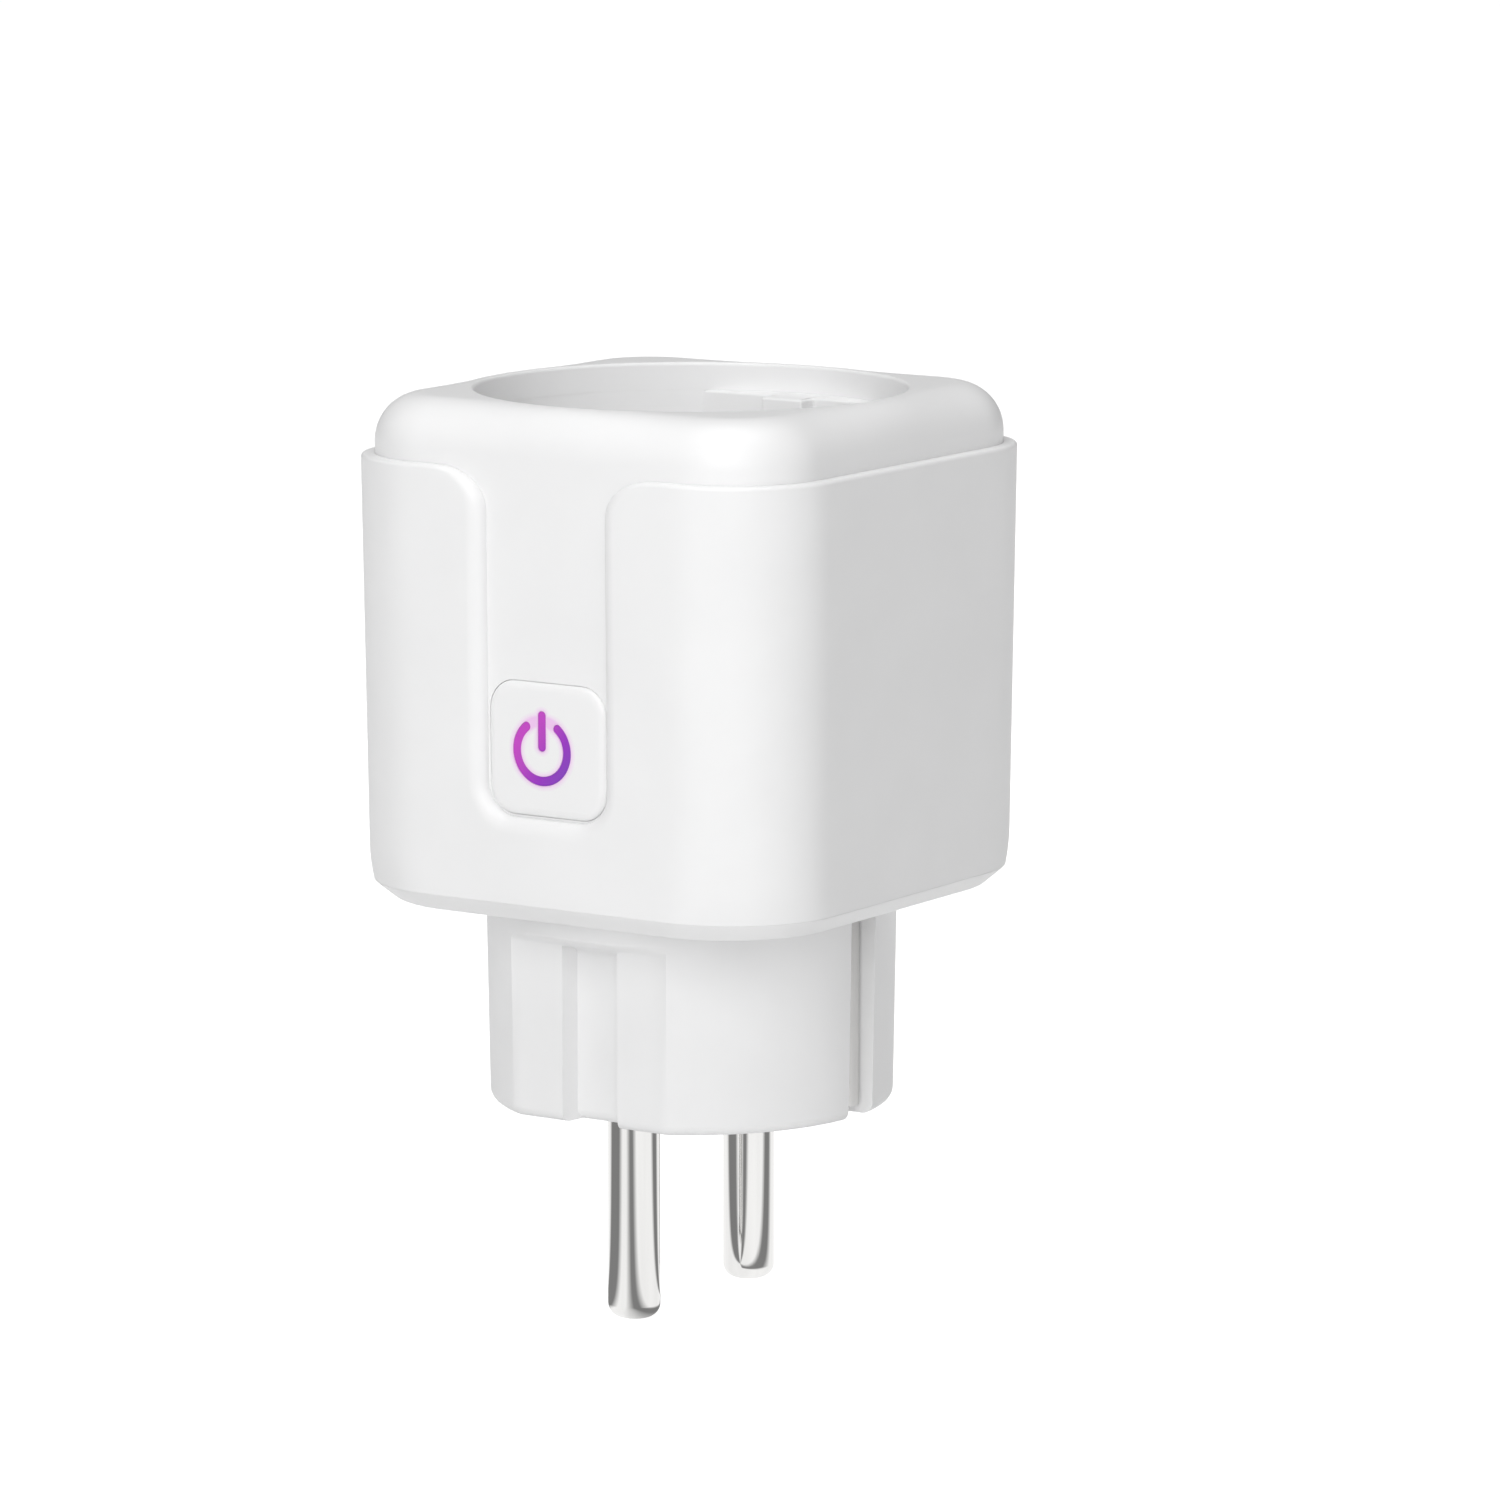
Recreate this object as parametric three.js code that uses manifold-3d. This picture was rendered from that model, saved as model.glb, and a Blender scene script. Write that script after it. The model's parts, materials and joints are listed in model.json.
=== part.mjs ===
// A mains smart plug: a round two-pin earthed plug below, a matching socket recess above, and a
// push button with a lit power symbol on the front. Millimetres. The origin is the centre of the
// plug's engagement face, +Z points to the socket's mouth and -Y to the button.
import * as THREE from "three";
import { mergeVertices } from "three/addons/utils/BufferGeometryUtils.js";
import Module from "manifold-3d";

const wasm = await Module();
wasm.setup();

// ---- Driving dimensions -------------------------------------------------------------------

const CLEARANCE = 0.1; // between pieces that lie against each other
const PIN_Y = 9.5; // the two pins are 19 mm apart
const PIN_RADIUS = 2.4;
const PIN_LENGTH = 19;
const PIN_TIP_RADIUS = 1.3;
const PLUG_RADIUS = 18.85;
const PLUG_FACE_RADIUS = 18.55;
const PLUG_FLAT_Y = 16.56;
const PLUG_FLAT_TOP = 16.3;
const GUIDE_HALF_WIDTH = 3;
const GUIDE_DEPTH = 2;
const SHOULDER_Z = 19.5; // underside of the body around the plug
const PARTING_Z = 21.1; // top of the base, lower edge of the sleeve
const LEDGE_Z = 60.2; // top edge of the sleeve
const RIM_Z = 65.7; // top of the dome, around the recess
const BODY_CORNER = 10;
const SLEEVE_HALF_BOTTOM = 23.9;
const SLEEVE_HALF_TOP = 24.3;
const SLEEVE_WALL = 1.15;
const HOUSING_WALL = 1.8;
const DOME_START_Z = 61.3;
const DOME_RADIUS = RIM_Z - DOME_START_Z;
const RECESS_RADIUS = 19.7;
const FLOOR_Z = 48.2; // the recess is 17.5 mm deep
const FLOOR_THICKNESS = 2.5;
const CUP_RADIUS = 21.2;
const CUP_TOP_Z = 63.1; // top of the cup and of the recess's two flats
const BLOCK_Y = 17; // the recess's two flats
const RIB_Y = 15; // guide ribs on the flats
const RIB_HALF_WIDTH = 2.25;
const PIN_HOLE_RADIUS = 2.8;
const BUTTON_WIDTH = 12.6;
const BUTTON_HEIGHT = 12.1;
const BUTTON_CORNER = 2.7;
const BUTTON_Z = 35.3;
const BUTTON_FACE_Y = -23.15;
const BUTTON_GAP = 0.15;
const SCREW_XY = 16.9; // the four housing screws are in the corners
const BOSS_RADIUS = 3;
const SCREW_RADIUS = 1.05;
const SCREW_HOLE_RADIUS = 1.2;
const SCREW_HEAD_RADIUS = 2.5;
const SCREW_HEAD_DEPTH = 0.8;
const BOARD_BOTTOM_Z = 22.9;
const BOARD_THICKNESS = 1.6;
const BOARD_TOP_Z = BOARD_BOTTOM_Z + BOARD_THICKNESS;
const SEAT_Z = BOARD_TOP_Z + CLEARANCE; // underside of what stands on the main board
const CONTROL_BOARD_Y = -17.2; // front face of the upright board
const CORNER_STEPS = 6; // facets in a quarter turn of the body's corners
const ROUND_SIDES = 48; // facets around the plug body, the recess and the shutter

// ---- Materials ----------------------------------------------------------------------------

function look(color, roughness, metalness = 0) {
  return new THREE.MeshStandardMaterial({ color, roughness, metalness });
}

const WHITE_PLASTIC = () => look(0xf2f2f2, 0.38);
const INNER_PLASTIC = () => look(0xe6e6e4, 0.55);
const NICKEL = () => look(0xc9c9cb, 0.18, 1);
const BRASS = () => look(0xc8a24a, 0.35, 1);
const STEEL = () => look(0x9c9ea2, 0.35, 1);
const BOARD_GREEN = () => look(0x1d5c38, 0.5);

// ---- Solids: booleans and shape helpers ---------------------------------------------------

function solid(geometry) {
  const bare = geometry.clone();
  bare.deleteAttribute("normal");
  bare.deleteAttribute("uv");
  const merged = mergeVertices(bare, 1e-4);
  const triVerts = new Uint32Array(merged.index.array);
  const vertProperties = new Float32Array(merged.attributes.position.array);
  let made = new wasm.Manifold(new wasm.Mesh({ numProp: 3, vertProperties, triVerts }));
  if (made.volume() < 0) {
    triVerts.reverse();
    made = new wasm.Manifold(new wasm.Mesh({ numProp: 3, vertProperties, triVerts }));
  }
  return made;
}

function geometryOf(manifold) {
  const mesh = manifold.getMesh();
  const points = [];
  for (let i = 0; i < mesh.vertProperties.length; i += mesh.numProp) {
    points.push(...mesh.vertProperties.slice(i, i + 3));
  }
  const geometry = new THREE.BufferGeometry();
  geometry.setAttribute("position", new THREE.Float32BufferAttribute(points, 3));
  geometry.setIndex(Array.from(mesh.triVerts));
  const faceted = geometry.toNonIndexed();
  faceted.computeVertexNormals();
  return faceted;
}

function box(x, y, z) {
  const geometry = new THREE.BoxGeometry(x[1] - x[0], y[1] - y[0], z[1] - z[0]);
  return geometry.translate((x[0] + x[1]) / 2, (y[0] + y[1]) / 2, (z[0] + z[1]) / 2);
}

function cylinder(radius, z, [x, y] = [0, 0], sides = 16, topRadius = radius) {
  const geometry = new THREE.CylinderGeometry(topRadius, radius, z[1] - z[0], sides);
  return geometry.rotateX(Math.PI / 2).translate(x, y, (z[0] + z[1]) / 2);
}

// A cylinder as finely faceted as the plug and the recess.
function roundCylinder(radius, z, topRadius = radius) {
  return solid(cylinder(radius, z, [0, 0], ROUND_SIDES, topRadius));
}

function between(a, b) {
  return [Math.min(a, b), Math.max(a, b)];
}

function cylinderAlongY(radius, y, [x, z], sides = 16) {
  const geometry = new THREE.CylinderGeometry(radius, radius, y[1] - y[0], sides);
  return geometry.translate(x, (y[0] + y[1]) / 2, z);
}

// A solid of revolution about Z from [radius, z] pairs that start and end on the axis.
function turned(profile, sides) {
  const points = profile.map(([radius, z]) => new THREE.Vector2(radius, z));
  return new THREE.LatheGeometry(points, sides).rotateX(Math.PI / 2);
}

// A shape drawn in X and Z, extruded between two values of Y.
function slabAlongY(shape, y, curveSegments = 3) {
  const depth = y[1] - y[0];
  const geometry = new THREE.ExtrudeGeometry(shape, { depth, bevelEnabled: false, curveSegments });
  return geometry.rotateX(Math.PI / 2).translate(0, y[1], 0);
}

function plate(shape, z) {
  const depth = z[1] - z[0];
  const geometry = new THREE.ExtrudeGeometry(shape, { depth, bevelEnabled: false, curveSegments: 3 });
  return geometry.translate(0, 0, z[0]);
}

function roundedRectangle(width, height, corner, [x, y] = [0, 0]) {
  const [w, h] = [width / 2, height / 2];
  const shape = new THREE.Shape();
  shape.absarc(x + w - corner, y - h + corner, corner, -Math.PI / 2, 0);
  shape.absarc(x + w - corner, y + h - corner, corner, 0, Math.PI / 2);
  shape.absarc(x - w + corner, y + h - corner, corner, Math.PI / 2, Math.PI);
  shape.absarc(x - w + corner, y - h + corner, corner, Math.PI, 1.5 * Math.PI);
  shape.closePath();
  return shape;
}

// The outline of a bent strip: its centre line, offset to both sides by half its thickness.
function stripShape(centreLine, thickness) {
  const points = centreLine.map(([x, z]) => new THREE.Vector2(x, z));
  const sides = [[], []];
  points.forEach((point, i) => {
    const before = points[Math.max(i - 1, 0)];
    const after = points[Math.min(i + 1, points.length - 1)];
    const arriving = (i ? point.clone().sub(before) : after.clone().sub(point)).normalize();
    const leaving = (after === point ? point.clone().sub(before) : after.clone().sub(point)).normalize();
    const along = arriving.clone().add(leaving).normalize();
    const normal = new THREE.Vector2(-along.y, along.x);
    const mitre = thickness / 2 / along.dot(arriving);
    sides[0].push(point.clone().addScaledVector(normal, mitre));
    sides[1].unshift(point.clone().addScaledVector(normal, -mitre));
  });
  return new THREE.Shape([...sides[0], ...sides[1]]);
}

// A closed solid through rings of equally many points, each end closed by a fan.
function loft(rings, firstCentre, lastCentre) {
  const count = rings[0].length;
  const points = [...rings.flat(), firstCentre, lastCentre];
  const index = [];
  for (let level = 0; level < rings.length - 1; level++) {
    for (let i = 0; i < count; i++) {
      const [a, b] = [level * count + i, level * count + ((i + 1) % count)];
      index.push(a, b, b + count, a, b + count, a + count);
    }
  }
  const last = (rings.length - 1) * count;
  for (let i = 0; i < count; i++) {
    const next = (i + 1) % count;
    index.push(points.length - 2, next, i);
    index.push(points.length - 1, last + i, last + next);
  }
  const geometry = new THREE.BufferGeometry().setFromPoints(points);
  geometry.setIndex(index);
  return geometry;
}

function roundedRing(half, corner, z) {
  const ring = [];
  for (let quarter = 0; quarter < 4; quarter++) {
    const turn = (quarter * Math.PI) / 2;
    const centre = new THREE.Vector2(half - corner, half - corner).rotateAround(new THREE.Vector2(), turn);
    for (let step = 0; step <= CORNER_STEPS; step++) {
      const angle = turn + ((step / CORNER_STEPS) * Math.PI) / 2;
      const [x, y] = [centre.x + corner * Math.cos(angle), centre.y + corner * Math.sin(angle)];
      ring.push(new THREE.Vector3(x, y, z));
    }
  }
  return ring;
}

// A rounded-square solid from [half width, corner radius, z] levels, bottom first.
function roundedLoft(levels) {
  const rings = levels.map(([half, corner, z]) => roundedRing(half, corner, z));
  const [first, last] = [levels[0][2], levels[levels.length - 1][2]];
  return loft(rings, new THREE.Vector3(0, 0, first), new THREE.Vector3(0, 0, last));
}

function sleeveHalf(z) {
  return THREE.MathUtils.mapLinear(z, PARTING_Z, LEDGE_Z, SLEEVE_HALF_BOTTOM, SLEEVE_HALF_TOP);
}

function housingHalf(z) {
  return sleeveHalf(z) - SLEEVE_WALL - CLEARANCE;
}

function fourCorners(make) {
  return [1, -1].flatMap((sx) => [1, -1].map((sy) => make(sx * SCREW_XY, sy * SCREW_XY)));
}

// ---- The part -----------------------------------------------------------------------------

const root = new THREE.Group();

function add(group, name, shape, material, position = [0, 0, 0]) {
  const geometry = shape.isBufferGeometry ? shape : geometryOf(shape);
  const mesh = new THREE.Mesh(geometry, material);
  mesh.name = name;
  mesh.position.set(...position);
  group.add(mesh);
  return mesh;
}

// ---- Outer sleeve, open in front for the button's strip ------------------------------------

function notchRing(halfWidth, bottomZ, corner, flare, y) {
  const right = [];
  for (let step = 0; step <= CORNER_STEPS; step++) {
    const angle = ((step / CORNER_STEPS - 1) * Math.PI) / 2;
    right.push([halfWidth - corner + corner * Math.cos(angle), bottomZ + corner + corner * Math.sin(angle)]);
  }
  for (let step = 0; step <= CORNER_STEPS; step++) {
    const angle = Math.PI - ((step / CORNER_STEPS) * Math.PI) / 2;
    right.push([halfWidth + flare + flare * Math.cos(angle), LEDGE_Z - flare + flare * Math.sin(angle)]);
  }
  right.push([halfWidth + flare, RIM_Z]);
  const left = right.map(([x, z]) => [-x, z]).reverse();
  return [...right, ...left].map(([x, z]) => new THREE.Vector3(x, y, z));
}

function outerSleeve() {
  const edge = 0.4;
  const outside = roundedLoft([
    [sleeveHalf(PARTING_Z), BODY_CORNER, PARTING_Z + CLEARANCE],
    [sleeveHalf(LEDGE_Z - edge), BODY_CORNER, LEDGE_Z - edge],
    [sleeveHalf(LEDGE_Z) - edge, BODY_CORNER - edge, LEDGE_Z],
  ]);
  const inside = roundedLoft([
    [sleeveHalf(PARTING_Z) - SLEEVE_WALL, BODY_CORNER - SLEEVE_WALL, PARTING_Z - 1],
    [sleeveHalf(LEDGE_Z) - SLEEVE_WALL, BODY_CORNER - SLEEVE_WALL, LEDGE_Z + 1],
  ]);
  // The notch's edge slopes from the inner outline to a wider outline on the outer face.
  const [behind, front] = [-SLEEVE_HALF_TOP + 2, -SLEEVE_HALF_TOP - 0.3];
  const rings = [notchRing(6.2, 29.3, 2.6, 4, behind), notchRing(8.3, 28.2, 4, 3.6, front)];
  const notch = loft(
    rings,
    new THREE.Vector3(0, behind, LEDGE_Z - 2),
    new THREE.Vector3(0, front, LEDGE_Z - 2),
  );
  return solid(outside).subtract(solid(inside)).subtract(solid(notch));
}

// ---- Inner housing: dome, button strip and walls in one moulding ----------------------------

const HOUSING_CORNER = BODY_CORNER - SLEEVE_WALL - CLEARANCE;

function housingOutside() {
  const levels = [
    [housingHalf(PARTING_Z), HOUSING_CORNER, PARTING_Z + CLEARANCE],
    [housingHalf(LEDGE_Z), HOUSING_CORNER, DOME_START_Z],
  ];
  const steps = 5;
  for (let step = 1; step <= steps; step++) {
    const angle = ((step / steps) * Math.PI) / 2;
    const inset = DOME_RADIUS * (1 - Math.cos(angle));
    const z = DOME_START_Z + DOME_RADIUS * Math.sin(angle);
    levels.push([housingHalf(LEDGE_Z) - inset, HOUSING_CORNER - inset, z]);
  }
  return solid(roundedLoft(levels));
}

// Inside, bosses for the screws stand in the corners and a skirt hangs from the dome's rim.
function housingCavity() {
  const corner = HOUSING_CORNER - HOUSING_WALL;
  const [low, high] = [housingHalf(PARTING_Z) - HOUSING_WALL, housingHalf(LEDGE_Z) - HOUSING_WALL];
  const taper = 2.2;
  let cavity = solid(
    roundedLoft([
      [low, corner, PARTING_Z - 1],
      [high, corner, DOME_START_Z - 0.3],
      [high - taper, corner - taper, RIM_Z - HOUSING_WALL],
    ]),
  );
  const bosses = fourCorners((x, y) => cylinder(BOSS_RADIUS, [PARTING_Z + CLEARANCE, RIM_Z], [x, y]));
  for (const boss of bosses) {
    cavity = cavity.subtract(solid(boss));
  }
  const room = roundCylinder(CUP_RADIUS + CLEARANCE, [FLOOR_Z - FLOOR_THICKNESS, CUP_TOP_Z + CLEARANCE]);
  const skirt = roundCylinder(CUP_RADIUS + CLEARANCE, [CUP_TOP_Z + CLEARANCE, RIM_Z]);
  return cavity.add(room).subtract(skirt);
}

function innerHousing() {
  const rimChamfer = 0.3;
  const bore = roundCylinder(RECESS_RADIUS, [CUP_TOP_Z - 1, RIM_Z + 1]);
  const mouth = roundCylinder(RECESS_RADIUS, [RIM_Z - rimChamfer, RIM_Z + 1], RECESS_RADIUS + 1 + rimChamfer);
  let housing = housingOutside().subtract(housingCavity()).subtract(bore).subtract(mouth);
  const screwHole = [PARTING_Z, 33];
  for (const hole of fourCorners((x, y) => cylinder(SCREW_HOLE_RADIUS, screwHole, [x, y], 12))) {
    housing = housing.subtract(solid(hole));
  }
  const window = roundedRectangle(
    BUTTON_WIDTH + 2 * BUTTON_GAP,
    BUTTON_HEIGHT + 2 * BUTTON_GAP,
    BUTTON_CORNER + BUTTON_GAP,
    [0, BUTTON_Z],
  );
  return housing.subtract(solid(slabAlongY(window, [-SLEEVE_HALF_TOP, -SLEEVE_HALF_TOP + 5])));
}

// ---- Socket cup: the recess with its two flats, guide ribs and holes -------------------------

const EARTH_SLOT_X = [18.35, 19.75];
const EARTH_SLOT_HALF = 2.8;

function socketCup() {
  const underside = FLOOR_Z - FLOOR_THICKNESS;
  let recess = roundCylinder(RECESS_RADIUS, [FLOOR_Z, RIM_Z]);
  for (const side of [1, -1]) {
    const block = between(BLOCK_Y * side, CUP_RADIUS * side);
    const rib = between(RIB_Y * side, CUP_RADIUS * side);
    recess = recess
      .subtract(solid(box([-CUP_RADIUS, CUP_RADIUS], block, [FLOOR_Z - 1, RIM_Z])))
      .subtract(solid(box([-RIB_HALF_WIDTH, RIB_HALF_WIDTH], rib, [FLOOR_Z - 1, RIM_Z])));
  }
  let cup = roundCylinder(CUP_RADIUS, [underside, CUP_TOP_Z]).subtract(recess);
  for (const side of [1, -1]) {
    const slotX = between(EARTH_SLOT_X[0] * side, EARTH_SLOT_X[1] * side);
    const through = [underside - 1, FLOOR_Z + 1];
    cup = cup
      .subtract(solid(cylinder(PIN_HOLE_RADIUS, through, [0, PIN_Y * side])))
      .subtract(solid(box(slotX, [-EARTH_SLOT_HALF, EARTH_SLOT_HALF], through)));
  }
  const pivot = cylinder(SHUTTER_PIVOT_RADIUS, [SHUTTER_COVER_TOP + 0.2, FLOOR_Z - 1], [0, 0], 20);
  return cup.add(solid(pivot));
}

// ---- Base: the lower shell with the round plug body -----------------------------------------

const EARTH_RECESS_HALF = 2;
const EARTH_RECESS_X = 16.2;
const STRAP_SLOT_X = 17.3; // the strap rises through a slot behind this
const OUTSIDE = 21; // clear of the plug body

// The base's lower edge: [inset from its side, height above the shoulder], bottom first.
const BASE_BEVEL = [[1.9, 0], [1.4, 0.12], [0.25, 1.25], [0.05, 1.6]];

function baseShell() {
  const levels = BASE_BEVEL.map(([inset, height]) => (
    [SLEEVE_HALF_BOTTOM - inset, BODY_CORNER - inset, SHOULDER_Z + height]
  ));
  const shell = solid(roundedLoft(levels));
  const lipHalf = housingHalf(PARTING_Z) - HOUSING_WALL - CLEARANCE;
  const lipTop = BOARD_BOTTOM_Z - CLEARANCE;
  let lip = solid(roundedLoft([[lipHalf, 6.8, PARTING_Z - 1], [lipHalf, 6.8, lipTop]])).subtract(
    solid(roundedLoft([[lipHalf - 1.2, 5.6, PARTING_Z - 2], [lipHalf - 1.2, 5.6, lipTop + 1]])),
  );
  for (const boss of fourCorners((x, y) => cylinder(BOSS_RADIUS + 0.4, [PARTING_Z, lipTop + 1], [x, y]))) {
    lip = lip.subtract(solid(boss));
  }
  return shell.add(lip);
}

function plugBody() {
  const foot = [
    [0, 0],
    [PLUG_FACE_RADIUS - 1, 0],
    [PLUG_FACE_RADIUS - 0.3, 0.3],
    [PLUG_FACE_RADIUS, 1],
    [PLUG_RADIUS, SHOULDER_Z + 1],
    [0, SHOULDER_Z + 1],
  ];
  let body = solid(turned(foot, ROUND_SIDES));
  for (const side of [1, -1]) {
    const flat = between(PLUG_FLAT_Y * side, OUTSIDE * side);
    const groove = between((PLUG_FLAT_Y - GUIDE_DEPTH) * side, OUTSIDE * side);
    const strip = between(EARTH_RECESS_X * side, OUTSIDE * side);
    body = body
      .subtract(solid(box([-12, 12], flat, [-1, PLUG_FLAT_TOP])))
      .subtract(solid(box([-GUIDE_HALF_WIDTH, GUIDE_HALF_WIDTH], groove, [-1, PLUG_FLAT_TOP - 0.2])))
      .subtract(solid(box(strip, [-EARTH_RECESS_HALF, EARTH_RECESS_HALF], [-1, SHOULDER_Z])));
  }
  return body;
}

const EARTH_HOLE_X = -10; // the face's earth hole and the sprung tube behind it
const FACE_THICKNESS = 2.2;

function baseHousing() {
  const well = roundCylinder(16, [FACE_THICKNESS, PARTING_Z + 2]).intersect(
    solid(box([-14.2, 14.2], [-12.6, 12.6], [0, PARTING_Z + 2])),
  );
  let base = baseShell().add(plugBody()).subtract(well);
  for (const side of [1, -1]) {
    const slot = between(EARTH_RECESS_X * side, STRAP_SLOT_X * side);
    const saddle = between(14 * side, STRAP_SLOT_X * side);
    const strapY = [-EARTH_RECESS_HALF, EARTH_RECESS_HALF];
    base = base
      .subtract(solid(box(slot, strapY, [SHOULDER_Z - 1, PARTING_Z + 1])))
      .subtract(solid(box(saddle, strapY, [PARTING_Z - 1.6, PARTING_Z + 1])))
      .subtract(solid(cylinder(PIN_RADIUS + CLEARANCE, [-1, FACE_THICKNESS + 1], [0, PIN_Y * side], 20)));
  }
  base = base.subtract(solid(cylinder(2.6, [-1, FACE_THICKNESS + 1], [EARTH_HOLE_X, 0], 20)));
  const holes = fourCorners((x, y) => cylinder(1.5, [SHOULDER_Z - 1, PARTING_Z + 1], [x, y], 12));
  const headRadius = SCREW_HEAD_RADIUS + 0.2;
  const headTop = SHOULDER_Z + SCREW_HEAD_DEPTH + 0.1;
  const heads = fourCorners((x, y) => cylinder(headRadius, [SHOULDER_Z - 1, headTop], [x, y]));
  for (const hole of [...holes, ...heads]) {
    base = base.subtract(solid(hole));
  }
  return base;
}

function housingScrew() {
  const shank = 10.5;
  const profile = [
    [0, 0],
    [SCREW_HEAD_RADIUS, 0],
    [SCREW_HEAD_RADIUS, SCREW_HEAD_DEPTH],
    [SCREW_RADIUS, SCREW_HEAD_DEPTH],
    [SCREW_RADIUS, SCREW_HEAD_DEPTH + shank - 1],
    [0, SCREW_HEAD_DEPTH + shank],
  ];
  let screw = solid(turned(profile, 12));
  for (const [x, y] of [[1.5, 0.35], [0.35, 1.5]]) {
    screw = screw.subtract(solid(box([-x, x], [-y, y], [-1, 0.6])));
  }
  return screw;
}

// ---- Plug: pins and earth contacts ------------------------------------------------------------

function plugPin() {
  const tip = [[0, -PIN_LENGTH]];
  const steps = 3;
  for (let step = 0; step <= steps; step++) {
    const angle = ((step / steps) * Math.PI) / 2;
    const radius = PIN_RADIUS - PIN_TIP_RADIUS * (1 - Math.sin(angle));
    tip.push([radius, -PIN_LENGTH + PIN_TIP_RADIUS * (1 - Math.cos(angle))]);
  }
  const collar = FACE_THICKNESS + CLEARANCE;
  const tailTop = BOARD_BOTTOM_Z - CLEARANCE;
  const collarTop = collar + 2.6;
  const [collarRadius, tailRadius] = [3, 1.4];
  const inside = [
    [collarRadius, collar],
    [collarRadius, collarTop],
    [tailRadius, collarTop],
    [tailRadius, tailTop],
  ];
  return turned([...tip, [PIN_RADIUS, collar], ...inside, [0, tailTop]], 20);
}

function plugEarthStrap() {
  const legX = 16.75;
  const crossZ = PARTING_Z - 1.05;
  const line = [[-legX, 0.8], [-legX, crossZ], [legX, crossZ], [legX, 0.8]];
  return slabAlongY(stripShape(line, 0.7), [-1.8, 1.8]);
}

function earthPinContact() {
  const z = [FACE_THICKNESS + CLEARANCE, PARTING_Z - 1.6];
  return turned([[2.5, z[0]], [3.2, z[0]], [3.2, z[1]], [2.5, z[1]], [2.5, z[0]]], 20);
}

// ---- Socket: contacts and shutter ---------------------------------------------------------------

const EARTH_CROSS_Z = 40.55;

function socketEarthBracket() {
  const arm = [[19.05, EARTH_CROSS_Z], [19.05, 50], [16.9, 53.2], [16.2, 56], [16.6, 58.6], [18.1, 61.6]];
  const left = arm.map(([x, z]) => [-x, z]).reverse();
  return slabAlongY(stripShape([...left, ...arm], 0.7), [-2.5, 2.5]);
}

// A fork of sprung brass that grips the pin, on a leg that stands on the main board.
function socketContact() {
  const leaf = [[2.2, 28.5], [2.85, 30.3], [2.6, 39], [3.6, 40.8]];
  const left = leaf.map(([x, z]) => [-x, z]).reverse();
  const fork = slabAlongY(stripShape([...left, ...leaf], 0.6), [-2.6, 2.6]);
  return solid(fork).add(solid(box([-1.5, 1.5], [-0.4, 0.4], [SEAT_Z, 28.5])));
}

const SHUTTER_PIVOT_RADIUS = 1.5;
const SHUTTER_COVER_TOP = 42.1; // upper face of the cover's floor
const SHUTTER_Z = [43.3, FLOOR_Z - FLOOR_THICKNESS - 0.2];
const SHUTTER_ARM_HALF = 3.3;

function shutter() {
  const reach = 12.9;
  const arm = box([-SHUTTER_ARM_HALF, SHUTTER_ARM_HALF], [-reach, reach], SHUTTER_Z);
  let blade = roundCylinder(reach, SHUTTER_Z).intersect(solid(arm));
  blade = blade.subtract(solid(cylinder(SHUTTER_PIVOT_RADIUS + 0.1, [SHUTTER_Z[0] - 1, SHUTTER_Z[1] + 1])));
  // Under each pin hole a ramp turns the pin's push into the blade's turn.
  for (const side of [1, -1]) {
    const ramp = new THREE.BoxGeometry(9, 5.4, 2);
    ramp.rotateY((20 * side * Math.PI) / 180).translate(side, PIN_Y * side, SHUTTER_Z[1] + 0.5);
    blade = blade.subtract(solid(ramp));
  }
  return blade;
}

function shutterCover() {
  const floorBottom = SHUTTER_COVER_TOP - 0.8;
  const rimTop = FLOOR_Z - FLOOR_THICKNESS - CLEARANCE;
  let cover = roundCylinder(15.4, [floorBottom, rimTop]);
  cover = cover.subtract(roundCylinder(14.2, [SHUTTER_COVER_TOP, rimTop + 1]));
  for (const side of [1, -1]) {
    cover = cover.subtract(solid(cylinder(3.1, [floorBottom - 1, rimTop], [0, PIN_Y * side])));
  }
  return cover;
}

// A tube with a round section of few sides along a smooth line through the points.
function tube(points, radius, sides, steps) {
  const path = new THREE.CatmullRomCurve3(points.map((p) => new THREE.Vector3(...p)));
  const section = new THREE.Shape();
  section.absarc(0, 0, radius, 0, 2 * Math.PI);
  const outline = new THREE.Shape(section.getSpacedPoints(sides).slice(0, sides));
  return new THREE.ExtrudeGeometry(outline, { steps, extrudePath: path });
}

function shutterSpring() {
  const coil = 2.4;
  const turns = 2.25;
  const perTurn = 12;
  const lowZ = SHUTTER_COVER_TOP + 0.18;
  const pitch = 0.33;
  const points = [[6.5, -coil, lowZ], [3.5, -coil, lowZ]];
  for (let step = 0; step <= turns * perTurn; step++) {
    const angle = -Math.PI / 2 - (step / perTurn) * 2 * Math.PI;
    points.push([coil * Math.cos(angle), coil * Math.sin(angle), lowZ + (step / perTurn) * pitch]);
  }
  const topZ = lowZ + turns * pitch;
  points.push([-coil, 3.2, topZ], [-coil, 6, topZ]);
  return tube(points, 0.13, 5, 46);
}

// ---- Button, its light guide and the switch behind it ---------------------------------------------

const SYMBOL_X = -0.5; // the symbol stands a little left of the cap's middle
const SYMBOL_Z = 35.2;
const SYMBOL_RADIUS = 2.7;
const SYMBOL_STROKE = 0.86;
const SYMBOL_OPENING = (38 * Math.PI) / 180; // half of the ring's gap at the top
const SYMBOL_BAR_TOP = 3.6;
const POCKET_Y = -22.3;
const FLANGE_FRONT_Y = -20.9;
const FLANGE_BACK_Y = -20.2;
const SWITCH_Z = 34.05; // the switch sits inside the symbol's ring, below its bar
const PUSHER_RADIUS = 0.9;

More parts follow.
